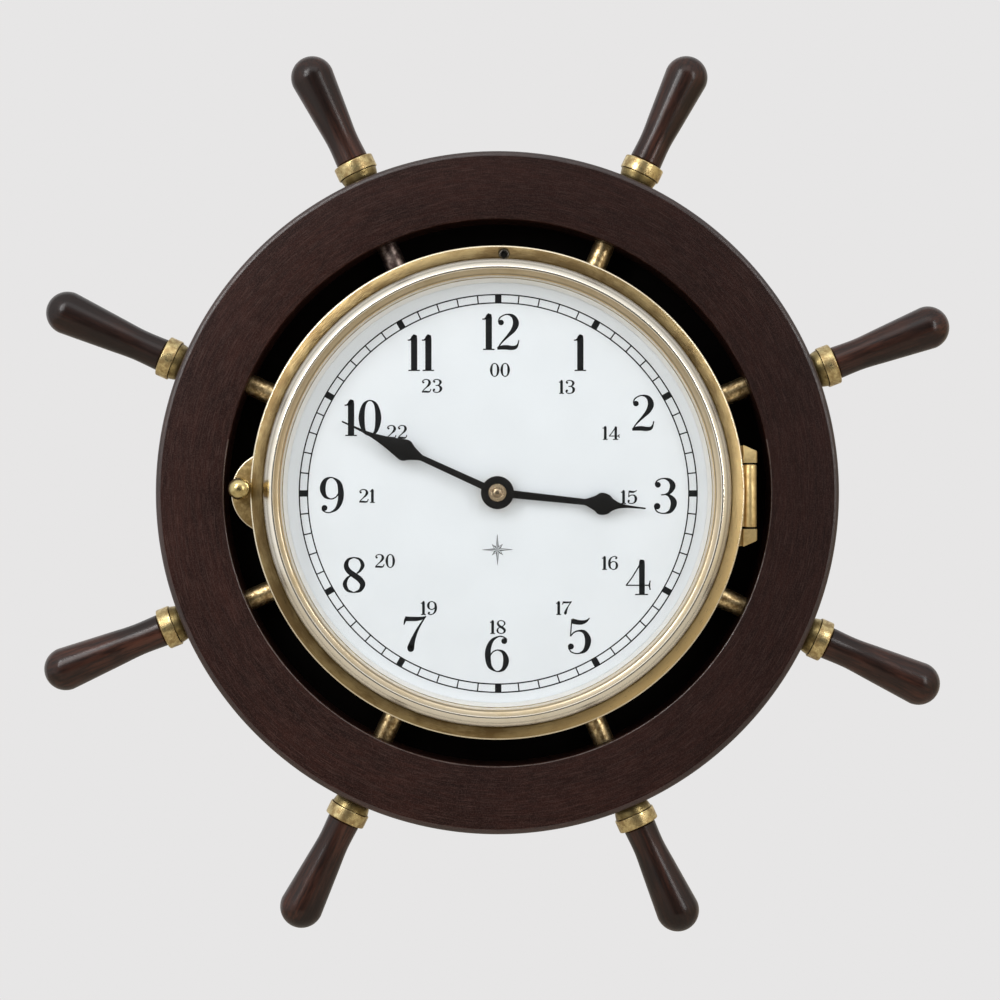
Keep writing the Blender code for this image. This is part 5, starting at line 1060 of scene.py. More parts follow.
@dataclass(frozen=True)
class Hanger:
    """The keyhole plate and its screws, let into the back of the rim at 12 o'clock."""

    centre: float = 0.115
    width: float = 0.036
    height: float = 0.018
    corner: float = 0.002
    sink: float = 0.0019
    thickness: float = 0.0015
    edge: float = 0.0002
    mouth_radius: float = 0.0045
    slot_radius: float = 0.0022
    rise: float = 0.0085
    pocket_width: float = 0.014
    pocket_depth: float = 0.0075
    screw_right: float = 0.014
    head_radius: float = 0.0027
    head_height: float = 0.0012
    shank_radius: float = 0.0013
    shank_length: float = 0.011
    driver_half: float = 0.00035
    driver_reach: float = 0.003
    driver_depth: float = 0.0006
    past: float = 0.001

    def outline(self, grown: float) -> list[Point]:
        """The plate's rounded outline, grown by a clearance."""
        x, y = (size / 2 + grown - self.corner for size in (self.width, self.height))
        corners = ((x, y, 0), (-x, y, 90), (-x, -y, 180), (x, -y, 270))
        line = []
        for right, up, angle in corners:
            line += arc((right, self.centre + up), self.corner, angle, angle + 90, 6)
        return line

    def seat(self) -> Form:
        """Cutter for the plate's recess."""
        return Form().plate([self.outline(GAP)], -2 * self.past, self.sink + self.thickness + GAP)

    def pocket(self) -> Form:
        """Cutter for the room behind the keyhole and for the screws' holes."""
        half, tall = self.pocket_width / 2, self.height / 2 + GAP - self.corner
        depth = self.sink + self.thickness + self.pocket_depth
        pocket = Form().plate([box(-half, half, self.centre - tall, self.centre + tall)], -self.past, depth)
        hole = bar(self.shank_radius + GAP, -self.past, self.sink + self.shank_length)
        for side in (-1, 1):
            pocket.turned(hole, PIN_STEPS, at(side * self.screw_right, self.centre))
        return pocket

    def build(self) -> None:
        """Makes the plate and its two screws."""
        mouth = self.centre - self.rise / 2
        shoulder = math.degrees(math.asin(self.slot_radius / self.mouth_radius))
        keyhole = arc((0.0, mouth + self.rise), self.slot_radius, 0, 180, 12)
        keyhole += arc((0.0, mouth), self.mouth_radius, 90 + shoulder, 450 - shoulder, 28)
        holes = [circle((side * self.screw_right, self.centre), self.shank_radius + GAP) for side in (-1, 1)]
        turned_back = FRONT @ Matrix.Scale(-1, 4, (0.0, 0.0, 1.0))
        plate = Form(Finish.STEEL)
        levels = (-self.sink - self.thickness, -self.sink, self.edge)
        plate.plate([self.outline(0.0), keyhole, *holes], *levels, turned_back)
        plate.piece("keyhole_plate", ["hanger_plate"])
        for number, side in enumerate((-1, 1), 1):
            self.screw(number, side * self.screw_right)

    def screw(self, number: int, right: float) -> None:
        """Makes one slotted round-head screw.

        Args:
            number: 1 or 2.
            right: its place to the right of the plate's middle.
        """
        front = self.sink - GAP
        top = front - self.head_height
        end = front + self.shank_length
        angles = [math.radians(10 * step) for step in range(9)]
        head = [(self.head_radius * math.cos(a), front - self.head_height * math.sin(a)) for a in angles]
        shank = [(self.shank_radius, end - self.shank_radius), (self.shank_radius, front)]
        place = at(right, self.centre)
        screw = Form(Finish.STEEL).turned([(0.0, end), *shank, *head, (0.0, top)], ROD_STEPS, place)
        slot = box(-self.driver_reach, self.driver_reach, -self.driver_half, self.driver_half)
        screw.cut(Form().plate([slot], top - self.past, top + self.driver_depth, place=place))
        screw.piece(f"hanger_fixing_{number}", [f"hanger_screw_{number}"])


@dataclass(frozen=True)
class Hinge:
    """Where the bezel's hinge stands, at 3 o'clock."""

    right: float = 0.0932
    depth: float = 0.032
    middle: float = -0.0012
    half: float = 0.0115

    def place(self) -> Matrix:
        """The hinge's line, its z axis upwards."""
        return Matrix.Translation((self.right, -self.depth, self.middle))


@dataclass(frozen=True)
class Case:
    """The brass cup that carries the dial, with its flange, its ledge and the hinge's two ears.

    Attributes:
        knuckle: an ear's (right, depth) outline beyond its root, from the hinge's line.
    """

    hinge: Hinge = Hinge()
    wall: float = 0.0012
    back: float = 0.0053
    fillet: float = 0.0006
    foot_round: float = 0.001
    flange_radius: float = 0.0895
    flange_front: float = 0.0303
    flange_thickness: float = 0.0015
    ledge_width: float = 0.0024
    ledge_front: float = 0.0257
    ledge_thickness: float = 0.0012
    knuckle_reach: float = 0.0025
    knuckle_gap: float = 0.0007
    knuckle: tuple[Point, ...] = (
        (0.0025, 0.0008), (0.0022, 0.0012), (-0.0025, 0.0012), (-0.0027, 0.0010), (-0.0027, -0.0008),
        (-0.0021, -0.0017),
    )
    ear_length: float = 0.0067
    ear_slope: float = 0.0024
    ear_root: float = 0.0065
    slope_start: float = 0.0903
    slope_height: float = 0.0008
    pin_radius: float = 0.001
    crease: float = 24.0

    def section(self) -> list[Point]:
        """Section of the cup."""
        bore, floor = CASE_RADIUS - self.wall, self.back + self.wall
        ledge, under = bore - self.ledge_width, self.ledge_front - self.ledge_thickness
        front = self.flange_front
        rear = front - self.flange_thickness
        fillet, foot = self.fillet, self.foot_round
        return [
            (0.0, floor), (bore - fillet, floor), (bore, floor + fillet), (bore, under),
            (ledge, under), (ledge, self.ledge_front), (bore, self.ledge_front),
            (bore, front - EASE), (bore + EASE, front),
            *rounded(self.flange_radius, front, rear, EASE),
            (CASE_RADIUS + fillet, rear), (CASE_RADIUS, rear - fillet),
            *arc((CASE_RADIUS - foot, self.back + foot), foot, 0, -90, 5),
            (0.0, self.back),
        ]

    def ear(self, side: int) -> Form:
        """One hinge ear: a flat front with chamfered sides, its outer end sloped and its edges eased.

        Args:
            side: 1 above the barrel or -1 below it.

        Returns:
            The ear.
        """
        hinge = self.hinge
        rear = self.flange_front - self.flange_thickness
        left, right = hinge.right - self.ear_root, hinge.right + self.knuckle_reach
        knuckle = [(hinge.right + x, hinge.depth + y) for x, y in self.knuckle]
        outline = [(left, rear), (right, rear), *knuckle, (left, self.flange_front)]
        near = hinge.half + self.knuckle_gap
        far = near + self.ear_length
        form = Form(Finish.SATIN_BRASS).plate([outline], near, far, EASE, Matrix.Identity(4))
        bmesh.ops.scale(form.mesh, vec=(1.0, 1.0, side), verts=form.mesh.verts)
        for vertex in form.mesh.verts:
            if abs(vertex.co.z) > far - self.slope_height:
                share = (vertex.co.x - self.slope_start) / (right - self.slope_start)
                vertex.co.z -= side * self.ear_slope * min(max(share, 0.0), 1.0)
        place = Matrix(((1, 0, 0, 0), (0, -1, 0, 0), (0, 0, 1, hinge.middle), (0, 0, 0, 1)))
        bmesh.ops.transform(form.mesh, matrix=place, verts=form.mesh.verts)
        return form

    def build(self) -> None:
        """Makes the case and the hinge's pin."""
        case = Form(Finish.AGED_BRASS).turned(self.section())
        case.join(self.ear(1)).join(self.ear(-1)).piece("cup", ["case"], crease=self.crease)
        half = self.hinge.half + self.knuckle_gap + self.ear_length - self.ear_slope / 2
        section = [(0.0, half), *rounded(self.pin_radius, half, -half, EASE), (0.0, -half)]
        Form(Finish.DARK_STEEL).turned(section, PIN_STEPS, self.hinge.place()).piece("pin", ["hinge_pin"])


@dataclass(frozen=True)
class Door:
    """The hinged bezel with its glass, the ring that holds the glass, and the sunk screw at 12 o'clock.

    Attributes:
        slope: the bright slope's (outwards, down) points, in shares of its width and of the ridge's height.
        cove: the cove's (outwards, forward) points from the lip.
    """

    hinge: Hinge = Hinge()
    radius: float = 0.0909
    back: float = 0.0306
    band_front: float = 0.0351
    band_inner: float = 0.0864
    band_edge: float = 0.0005
    nick: float = 0.0001
    groove: float = 0.0859
    groove_depth: float = 0.0004
    ridge_radius: float = 0.0823
    ridge_front: float = 0.0404
    slope: tuple[Point, ...] = (
        (0.0, 0.0), (0.20, 0.02), (0.45, 0.15), (0.68, 0.33), (0.86, 0.47), (1.0, 0.59),
    )
    lip_radius: float = 0.0797
    lip_front: float = 0.0387
    lip_thickness: float = 0.0008
    cove: tuple[Point, ...] = ((0.0002, 0.0), (0.0009, 0.0002), (0.0017, 0.0008), (0.0023, 0.0014))
    bore: float = 0.0814
    outer_wall: float = 0.0019
    inner_wall: float = 0.0018
    recess: float = 0.003
    glass_radius: float = 0.0811
    glass_back: float = 0.0358
    glass_front: float = 0.0376
    glass_edge: float = 0.0002
    holder_width: float = 0.0022
    holder_front: float = 0.0355
    holder_thickness: float = 0.0013
    tab_centre: float = -0.083
    tab_radius: float = 0.0152
    tab_root: float = 0.0886
    tab_thickness: float = 0.002
    tab_edge: float = 0.0004
    latch_hole: float = 0.0013
    barrel_radius: float = 0.00243
    barrel_bore: float = 0.00108
    web_inner: float = 0.0899
    web_outer: float = 0.092
    web_thickness: float = 0.0021
    web_short: float = 0.0002
    screw_x: float = 0.0024
    screw_up: float = 0.0878
    screw_hole: float = 0.00215
    screw_radius: float = 0.0017
    screw_sink: float = 0.0006
    screw_head: float = 0.001
    screw_key: float = 0.0018
    key_depth: float = 0.0007
    shank_radius: float = 0.0012
    boss_wall: float = 0.0012
    past: float = 0.001

    def section(self) -> list[Point]:
        """Section of the bezel: lip, cove, ridge, bright slope, groove, brushed band and hollow back."""
        drop, width = self.ridge_front - self.band_front, self.groove - self.ridge_radius
        slope = [(self.ridge_radius + x * width, self.ridge_front - y * drop) for x, y in self.slope]
        cove = [(self.lip_radius + x, self.lip_front + y) for x, y in self.cove]
        front, edge, nick = self.band_front, self.band_edge, self.nick
        floor = front - self.groove_depth
        inner, outer = self.bore + self.inner_wall, self.radius - self.outer_wall
        roof, under = self.back + self.recess, self.lip_front - self.lip_thickness
        return [
            (self.lip_radius, self.lip_front - 2 * nick), *eased(cove, 5), *eased(slope, 5),
            (self.groove + 0.2 * nick, floor + nick), (self.groove + nick, floor),
            (self.band_inner - nick, floor), (self.band_inner, front - nick), (self.band_inner + nick, front),
            (self.radius - edge, front), (self.radius - nick, front - 0.45 * edge),
            (self.radius, front - 0.7 * edge), (self.radius, self.back + 2 * nick),
            (self.radius - 2 * nick, self.back), (outer, self.back), (outer, roof), (inner, roof),
            (inner, self.back), (self.bore, self.back), (self.bore, under), (self.lip_radius, under),
        ]

    def finish_at(self, middle: Vector) -> Finish:
        """The finish at a face's middle: painted shade in the groove and the cove, painted highlights on the
        slope and the outer edge.
        """
        radius, depth = math.hypot(middle.x, middle.z), -middle.y
        edge, low = self.radius - self.band_edge, self.band_front - 6 * self.nick
        # Painted shade: the groove's dark brown and the cove's duller brass. Painted highlights: the slope's
        # pale brass and the outer edge's paler brass. The band carries its own painted highlight fan.
        for inner, outer, rear, finish in (
            (self.groove - HAIR, self.band_inner, low, Finish.BROWN_BRASS),
            (self.band_inner, edge, self.band_front - 3 * self.nick, Finish.BRUSHED_BRASS),
            (self.ridge_radius - 2 * self.nick, self.groove, low, Finish.PALE_BRASS),
            (edge, math.inf, self.band_front - self.band_edge, Finish.EDGE_BRASS),
            (0.0, self.ridge_radius, self.lip_front - self.nick, Finish.COVE_BRASS),
        ):
            if inner < radius < outer and depth > rear:
                return finish
        return Finish.POLISHED_BRASS

    def build(self) -> None:
        """Makes the bezel and what it carries."""
        stand = at(self.screw_x, self.screw_up)
        sunk = self.band_front - self.screw_sink - self.screw_head - GAP
        shank = self.shank_radius + GAP
        head, stem = bar(self.screw_hole, sunk, self.ridge_front), bar(shank, self.back - self.past, sunk)
        bezel = Form(Finish.POLISHED_BRASS).turned(self.section()).paint(self.finish_at)
        bezel.cut(Form().turned([*head[:0:-1], *stem[2::-1]], ROD_STEPS, stand))
        # Painted shade: the brass walls of the screw's sunk hole are painted dark steel, standing for the
        # shade in the hole.
        bezel.paint_near(stand, self.screw_hole + HAIR, Finish.DARK_STEEL)
        low, high = self.back + GAP, self.back + self.recess + 2 * self.nick
        bezel.turned(box(shank, self.screw_hole + self.boss_wall, low, high), ROD_STEPS, stand)
        bezel.join(self.tab())
        half = self.hinge.half
        side = rounded(self.barrel_radius, half, -half, EASE)
        barrel = [(self.barrel_bore, half), *side, (self.barrel_bore, -half)]
        bezel.join(Form(Finish.SATIN_BRASS).turned(barrel, ROD_STEPS, self.hinge.place()))
        ends = (self.hinge.middle + end * (half - self.web_short) for end in (-1, 1))
        web = box(self.web_inner, self.web_outer, *ends)
        bezel.join(Form(Finish.SATIN_BRASS).plate([web], low, low + self.web_thickness))
        bezel.piece("bezel_ring", ["bezel"], Body.DOOR)
        self.build_glass()
        self.build_screw(stand)

    def tab(self) -> Form:
        """The round tab that the latch turns in: satin in front, pale on its edge as a painted highlight,
        polished at its side.
        """
        bow = math.degrees(math.acos((-self.tab_root - self.tab_centre) / self.tab_radius))
        outline = arc((self.tab_centre, 0.0), self.tab_radius, bow, 360 - bow, 56)
        front, edge = self.back + self.tab_thickness, self.tab_edge

        def finish_at(middle: Vector) -> Finish:
            """The tab's finish at a face's middle."""
            if -middle.y > front - HAIR:
                return Finish.TAB_BRASS
            # The bevel's pale brass is a painted highlight.
            return Finish.EDGE_BRASS if -middle.y > front - edge else Finish.POLISHED_BRASS

        outlines = [outline, circle(LATCH_PLACE, self.latch_hole)]
        return Form(Finish.POLISHED_BRASS).plate(outlines, self.back, front, edge).paint(finish_at)

    def build_glass(self) -> None:
        """Makes the glass and the ring behind it: a brass ring in cream as painted light against the lip's
        shadow, with dark brown brass on its inner edge as painted shade.
        """
        edge, outer = self.glass_edge, self.glass_radius
        front, back = self.glass_front, self.glass_back
        side = [(outer - edge, front), (outer, front - edge), (outer, back + edge), (outer - edge, back)]
        window = Form(Finish.GLASS).turned([(0.0, front), *side, (0.0, back)])
        window.piece("window", ["glass"], Body.DOOR)
        front, inner = self.holder_front, outer - self.holder_width
        rear = front - self.holder_thickness
        inside = [(inner + edge, rear), (inner, rear + edge), (inner, front - edge)]
        section = [(inner + edge, front), (outer, front), (outer, rear), *inside]

        def finish_at(middle: Vector) -> Finish:
            """The ring's finish at a face's middle."""
            # The inner edge takes the dark brown brass as painted shade; the rest is cream as painted light.
            return Finish.BROWN_BRASS if math.hypot(middle.x, middle.z) < inner + edge else Finish.CREAM_METAL

        ring = Form(Finish.CREAM_METAL).turned(section).paint(finish_at)
        ring.piece("window_ring", ["glass_ring"], Body.DOOR)

    def build_screw(self, place: Matrix) -> None:
        """Makes the sunk socket screw, blackened but for its rounded edge."""
        top = self.band_front - self.screw_sink
        under, end = top - self.screw_head, self.back + 2 * GAP
        rim = arc((self.screw_radius - EASE, top - EASE), EASE, 90, 0, 3)
        shank = [(self.shank_radius, under), (self.shank_radius, end), (0.0, end)]
        screw = Form(Finish.DARK_STEEL)
        screw.turned([(0.0, top), *rim, (self.screw_radius, under), *shank], ROD_STEPS, place)
        key = arc((0.0, 0.0), self.screw_key / math.sqrt(3), 0, 300, 5)
        screw.cut(Form().plate([key], top - self.key_depth, top + self.past, place=place))
        back = place.inverted()

        def finish_at(middle: Vector) -> Finish:
            """The screw's finish at a face's middle."""
            own = back @ middle
            bare = top - EASE < own.z < top and math.hypot(own.x, own.y) > self.screw_radius - EASE
            return Finish.GUN_STEEL if bare else Finish.DARK_STEEL

        screw.paint(finish_at).piece("band_screw", ["top_screw"], Body.DOOR)


@dataclass(frozen=True)
class Latch:
    """The ball knob on its spindle and the claw behind the case's flange."""

    ball_radius: float = 0.0041
    neck_radius: float = 0.0016
    collar_radius: float = 0.0024
    collar_back: float = 0.0329
    collar_height: float = 0.0011
    spindle_radius: float = 0.0012
    claw_front: float = 0.0285
    claw_thickness: float = 0.0015
    claw_length: float = 0.0085
    claw_width: float = 0.0042
    edge: float = 0.0002
    fit: float = 0.00003

    def build(self) -> None:
        """Makes the knob and the claw."""
        collar_front = self.collar_back + self.collar_height
        centre = collar_front + self.ball_radius
        neck = math.degrees(math.asin(self.neck_radius / self.ball_radius))
        ball = arc((0.0, centre), self.ball_radius, 90, neck - 90, 28)
        low = self.claw_front - self.claw_thickness
        section = [
            (0.0, ball[0][1]), *ball[1:], (self.neck_radius, collar_front),
            *arc((self.collar_radius - self.edge, collar_front - self.edge), self.edge, 90, 0, 3),
            (self.collar_radius, self.collar_back), (self.spindle_radius, self.collar_back),
            (self.spindle_radius, low - GAP), (0.0, low - GAP),
        ]
        place = at(*LATCH_PLACE)
        knob = Form(Finish.BALL_BRASS).turned(section, ROD_STEPS, place)
        knob.piece("ball_knob", ["latch_knob"], Body.LATCH)
        half = self.claw_width / 2
        outline = arc((0.0, 0.0), half, 0, 180, 18) + arc((0.0, half - self.claw_length), half, 180, 360, 18)
        outlines = [outline, circle((0.0, 0.0), self.spindle_radius + self.fit)]
        claw = Form(Finish.AGED_BRASS).plate(outlines, low, self.claw_front, self.edge, place)
        claw.piece("claw", ["latch_claw"], Body.LATCH)


@dataclass(frozen=True)
class Glyph:
    """One figure, drawn a hundred units high with a pen whose width changes.

    Attributes:
        width: the room that it takes.
        strokes: lines of (right, up, half-width) points.
        dots: (right, up, radius) of its round ends.
        ring: whether its first stroke runs back into its start.
    """

    width: float
    strokes: tuple[tuple[Triple, ...], ...]
    dots: tuple[Triple, ...] = ()
    ring: bool = False

    def half_turned(self) -> "Glyph":
        """The same figure turned by half a turn."""
        lines = (*self.strokes, self.dots)
        *strokes, dots = (tuple((self.width - x, 100 - y, size) for x, y, size in line) for line in lines)
        return Glyph(self.width, tuple(strokes), dots, self.ring)


SIX = Glyph(
    66,
    (
        ((61, 90, 1.6), (52, 97, 1.3), (38, 98.6, 1.5), (20, 88, 4.2), (9.5, 66, 6.6), (8, 40, 7.2),
         (14, 15, 5.2), (33, 1.6, 1.4), (51, 9, 4.8), (58.5, 31, 7.3), (52, 53, 4.6), (36, 61, 1.5),
         (22, 56, 1.4), (14, 45, 1.4)),
    ),
    ((53.4, 86, 8.2),),
)
GLYPHS = {
    "0": Glyph(
        62,
        (
            ((31, 98.6, 1.4), (14.5, 86, 4.6), (7.8, 50, 7.6), (14.5, 14, 4.6), (31, 1.4, 1.4),
             (47.5, 14, 4.6), (54.2, 50, 7.6), (47.5, 86, 4.6)),
        ),
        ring=True,
    ),
    "1": Glyph(
        34,
        (
            ((21.5, 100, 4.4), (18.4, 93, 7.5), (18, 86, 7.8), (18, 50, 7.8), (18, 3, 7.8)),
            ((2, 1.3, 1.3), (10, 1.6, 1.6), (18, 2.6, 2.6), (26, 1.6, 1.6), (34, 1.3, 1.3)),
            ((24, 99.2, 1.2), (14, 90.5, 3.6), (7, 86.2, 2.2), (0, 85.4, 1.0)),
        ),
    ),
    "2": Glyph(
        64,
        (
            ((5.2, 77, 1.4), (10, 90, 1.8), (28, 98.6, 1.5), (46, 93, 4.8), (54, 75, 7.6), (47, 56, 6.2),
             (32, 39, 3.6), (14, 20, 2.0), (3.5, 5, 1.4)),
            ((2, 3.5, 3.0), (14, 6.5, 5.2), (28, 7, 5.8), (42, 5.6, 5.4), (53, 7.5, 4.4), (59, 15, 2.2),
             (62, 27, 0.6)),
        ),
        ((12.5, 76, 7.8),),
    ),
    "3": Glyph(
        66,
        (
            ((5.4, 82, 1.4), (12, 93, 1.6), (28, 98.6, 1.5), (45, 94, 4.4), (54.5, 79, 7.2), (47, 61, 4.6),
             (34, 54.5, 1.6), (22, 53, 1.2)),
            ((32, 54.5, 1.2), (46, 50, 4.2), (57.5, 32, 7.9), (49, 9, 5.0), (30, 1.6, 1.5), (12, 6, 1.8),
             (4, 18, 1.5)),
        ),
        ((13.2, 81, 8.0), (11.2, 21.5, 9.0)),
    ),
    "4": Glyph(
        70,
        (
            ((46.5, 98, 4.5), (46, 90, 7.1), (46, 50, 7.1), (46, 3, 7.1)),
            ((48, 98, 1.6), (33, 72, 1.6), (16, 45, 1.6), (2, 27, 1.4)),
            ((1, 27, 1.6), (35, 27, 1.6), (68, 27, 1.6)),
            ((27, 1.3, 1.3), (37, 1.6, 1.6), (46, 2.4, 2.4), (54, 1.6, 1.6), (63, 1.3, 1.3)),
            ((69, 40, 0.9), (67.5, 33, 1.7), (66.5, 27, 2.4), (67.5, 21, 1.7), (69, 14, 0.9)),
        ),
    ),
    "5": Glyph(
        66,
        (
            ((13.5, 92, 6.6), (28, 88.5, 6.2), (42, 88, 5.2), (54, 92, 3.2), (62.5, 100, 0.6)),
            ((13, 97, 1.5), (11, 70, 1.4), (9.5, 49, 1.4)),
            ((10, 49.5, 1.2), (18, 59, 1.8), (32, 64.5, 2.2), (49, 60, 5.0), (58.3, 38, 7.7), (51, 12, 5.4),
             (32, 1.6, 1.5), (13, 5, 1.6), (3.8, 17, 1.5)),
        ),
        ((10.6, 21, 8.4),),
    ),
    "6": SIX,
    "7": Glyph(
        64,
        (
            ((5.5, 92.5, 6.0), (20, 92, 5.6), (38, 92, 5.2), (53, 94.5, 3.6), (63, 99.4, 0.6)),
            ((7, 99, 0.9), (5, 88, 3.0), (1.5, 76, 0.6)),
            ((62, 98.5, 1.4), (52, 84, 2.2), (38, 60, 3.4), (27.5, 36, 5.6), (21.5, 16, 8.2),
             (20.5, 10, 9.2)),
        ),
        ((20.5, 9.6, 9.4),),
    ),
    "8": Glyph(
        64,
        (
            ((32, 98.6, 1.4), (17, 93, 3.4), (10.5, 77, 6.0), (17, 62, 6.6), (32, 50, 7.0), (48, 38, 7.2),
             (56.5, 24, 6.8), (49, 7.5, 4.2), (32, 1.5, 1.4)),
            ((32, 1.5, 1.4), (15, 7.5, 3.8), (7, 24, 5.4), (13, 40, 3.4), (24, 49, 1.8)),
            ((32, 98.6, 1.4), (48, 93.5, 3.0), (56.5, 78, 4.8), (50, 63, 3.2), (40, 54, 1.8)),
        ),
    ),
    "9": SIX.half_turned(),
}


@dataclass(frozen=True)
class Pen:
    """How a row of figures is printed.

    Attributes:
        height: of its figures in photo pixels.
        hairline: least half-width of a line, in hundredths of the height.
        weight: width of the strokes against the glyphs' own.
        stretch: width against the glyphs' own.
        spacing: room between two figures, in hundredths of the height.
    """

    height: float
    hairline: float
    weight: float
    stretch: float
    spacing: float


@dataclass(frozen=True)
class Dial:
    """The white dial, its printed figures and minute track, and the ring that holds it down.

    Attributes:
        pixel: metres in a pixel of the photograph on the dial's face, the unit of what is printed.
        line_half: half-width of the track's lines.
        hours: (right, up) of each large figure's middle, from 1 o'clock.
        small_hours: the same for the 24-hour figures, from 13 to 24 (shown as 00).
    """

    radius: float = 0.0796
    back: float = 0.026
    front: float = 0.0268
    edge: float = 0.0001
    bush_hole: float = 0.0042
    print_height: float = 0.00003
    print_root: float = 0.0001
    print_right: float = 0.0003
    print_up: float = -0.0003
    pixel: float = 0.0003707
    large: Pen = Pen(36.0, 1.8, 1.12, 1.0, 5.5)
    small: Pen = Pen(13.4, 3.8, 1.3, 1.12, 9.0)
    track_outer: float = 198.8
    track_inner: float = 190.5
    line_half: float = 0.66
    block_half: float = 3.2
    star_drop: float = 57.0
    star_reach: float = 15.0
    star_line: float = 0.25
    ring_foot: float = 0.0019
    ring_top: float = 0.0005
    ring_height: float = 0.0051
    ring_outer: float = 0.0797
    ring_edge: float = 0.0002
    hours: tuple[Point, ...] = (
        (81.7, 140.5), (144.7, 80.5), (166.7, -2.5), (139.7, -83.5), (80.7, -142.5), (-1.3, -160.5),
        (-83.3, -140.5), (-144.3, -81.5), (-166.3, -1.5), (-135.3, 75.5), (-77.3, 140.5), (2.7, 161.5),
    )
    small_hours: tuple[Point, ...] = (
        (68.7, 106.5), (112.7, 60.5), (130.7, -3.5), (111.7, -69.5), (65.7, -114.5), (-0.3, -133.5),
        (-69.3, -114.5), (-113.3, -67.5), (-131.3, -2.5), (-101.3, 61.5), (-66.3, 107.5), (1.7, 123.5),
    )

    def print_span(self) -> Point:
        """Lower and upper height of the print, which is let into the paint."""
        return self.front - self.print_root, self.front + self.print_height

    def write(self, form: Form, text: str, middle: Point, pen: Pen) -> None:
        """Prints a number.

        Args:
            form: the print.
            text: its figures.
            middle: (right, up) of its middle.
            pen: how it is printed.
        """
        span = self.print_span()
        unit = pen.height / 100 * self.pixel
        width = sum(GLYPHS[figure].width for figure in text) * pen.stretch + pen.spacing * (len(text) - 1)
        start = -width / 2
        for figure in text:
            glyph = GLYPHS[figure]
            left = self.print_right + middle[0] * self.pixel + start * unit
            foot = self.print_up + middle[1] * self.pixel - 50 * unit
            for line in glyph.strokes:
                points = [
                    (left + x * pen.stretch * unit, foot + y * unit, max(pen.weight * w, pen.hairline) * unit)
                    for x, y, w in eased(line, 6, glyph.ring)
                ]
                form.stroke(points, *span, closed=glyph.ring)
            for x, y, radius in glyph.dots:
                form.plate([circle((left + x * pen.stretch * unit, foot + y * unit), radius * unit)], *span)
            start += glyph.width * pen.stretch + pen.spacing

    def build(self) -> None:
        """Makes the dial, its print and its ring."""
        radius, front, edge = self.radius, self.front, self.edge
        side = [(radius - edge, front), (radius, front - edge), (radius, self.back)]
        section = [(self.bush_hole, front), *side, (self.bush_hole, self.back)]
        Form(Finish.DIAL).turned(section).piece("dial_plate", ["dial"])
        large, small = Form(Finish.PRINT), Form(Finish.PRINT)
        for number, middle in enumerate(self.hours, 1):
            self.write(large, str(number), middle, self.large)
        large.piece("hour_figures")
        for number, middle in enumerate(self.small_hours, 13):
            self.write(small, f"{number % 24:02d}", middle, self.small)
        small.piece("day_figures")
        self.build_track()
        self.build_star()
        self.build_ring()

    def build_track(self) -> None:
        """Prints the minute track: two rings, a line at each minute and a block at each fifth."""
        low, high = self.print_span()
        track = Form(Finish.PRINT)
        middle = at(self.print_right, self.print_up)
        top, bottom = self.track_outer * self.pixel, self.track_inner * self.pixel
        for radius in (self.track_outer, self.track_inner):
            inner, outer = ((radius + side * self.line_half) * self.pixel for side in (-1, 1))
            track.turned(box(inner, outer, low, high), place=middle)
        for minute in range(60):
            half = (self.line_half if minute % 5 else self.block_half) * self.pixel
            block = box(-half, half, bottom, top)
            track.plate([block], low, high, place=middle @ turned_by(-6 * minute))
        track.piece("minute_track")

    def build_star(self) -> None:
        """Prints a small plain compass star below the middle: four long points and four short ones."""
        span = self.print_span()
        star = Form(Finish.PRINT)
        root = 0.22 * self.star_reach * self.pixel
        half, foot = root * math.sin(math.radians(22.5)), root * math.cos(math.radians(22.5))
        pen = self.star_line * self.pixel
        for number in range(8):
            reach = (0.5 if number % 2 else 1.0) * self.star_reach * self.pixel
            place = at(0.0, -self.star_drop * self.pixel) @ turned_by(45 * number)
            star.plate([[(0.0, 0.0), (half, foot), (0.0, reach)]], *span, place=place)
            line = [(0.0, reach, pen), (-0.5 * half, (reach + foot) / 2, pen), (-half, foot, pen)]
            star.stroke(line, *span, place)
        star.piece("compass_star")

    def build_ring(self) -> None:
        """Makes the cream conical ring round the dial."""
        low, edge, outer = self.front + GAP, self.ring_edge, self.ring_outer
        high, foot, top = low + self.ring_height, outer - self.ring_foot, outer - self.ring_top
        cone = [(foot, low + edge), (top, high - edge), (top + edge, high)]
        ring = Form(Finish.CREAM_LACQUER).turned([*cone, (outer, high), (outer, low), (foot, low)])
        ring.piece("cone_ring", ["dial_ring"])


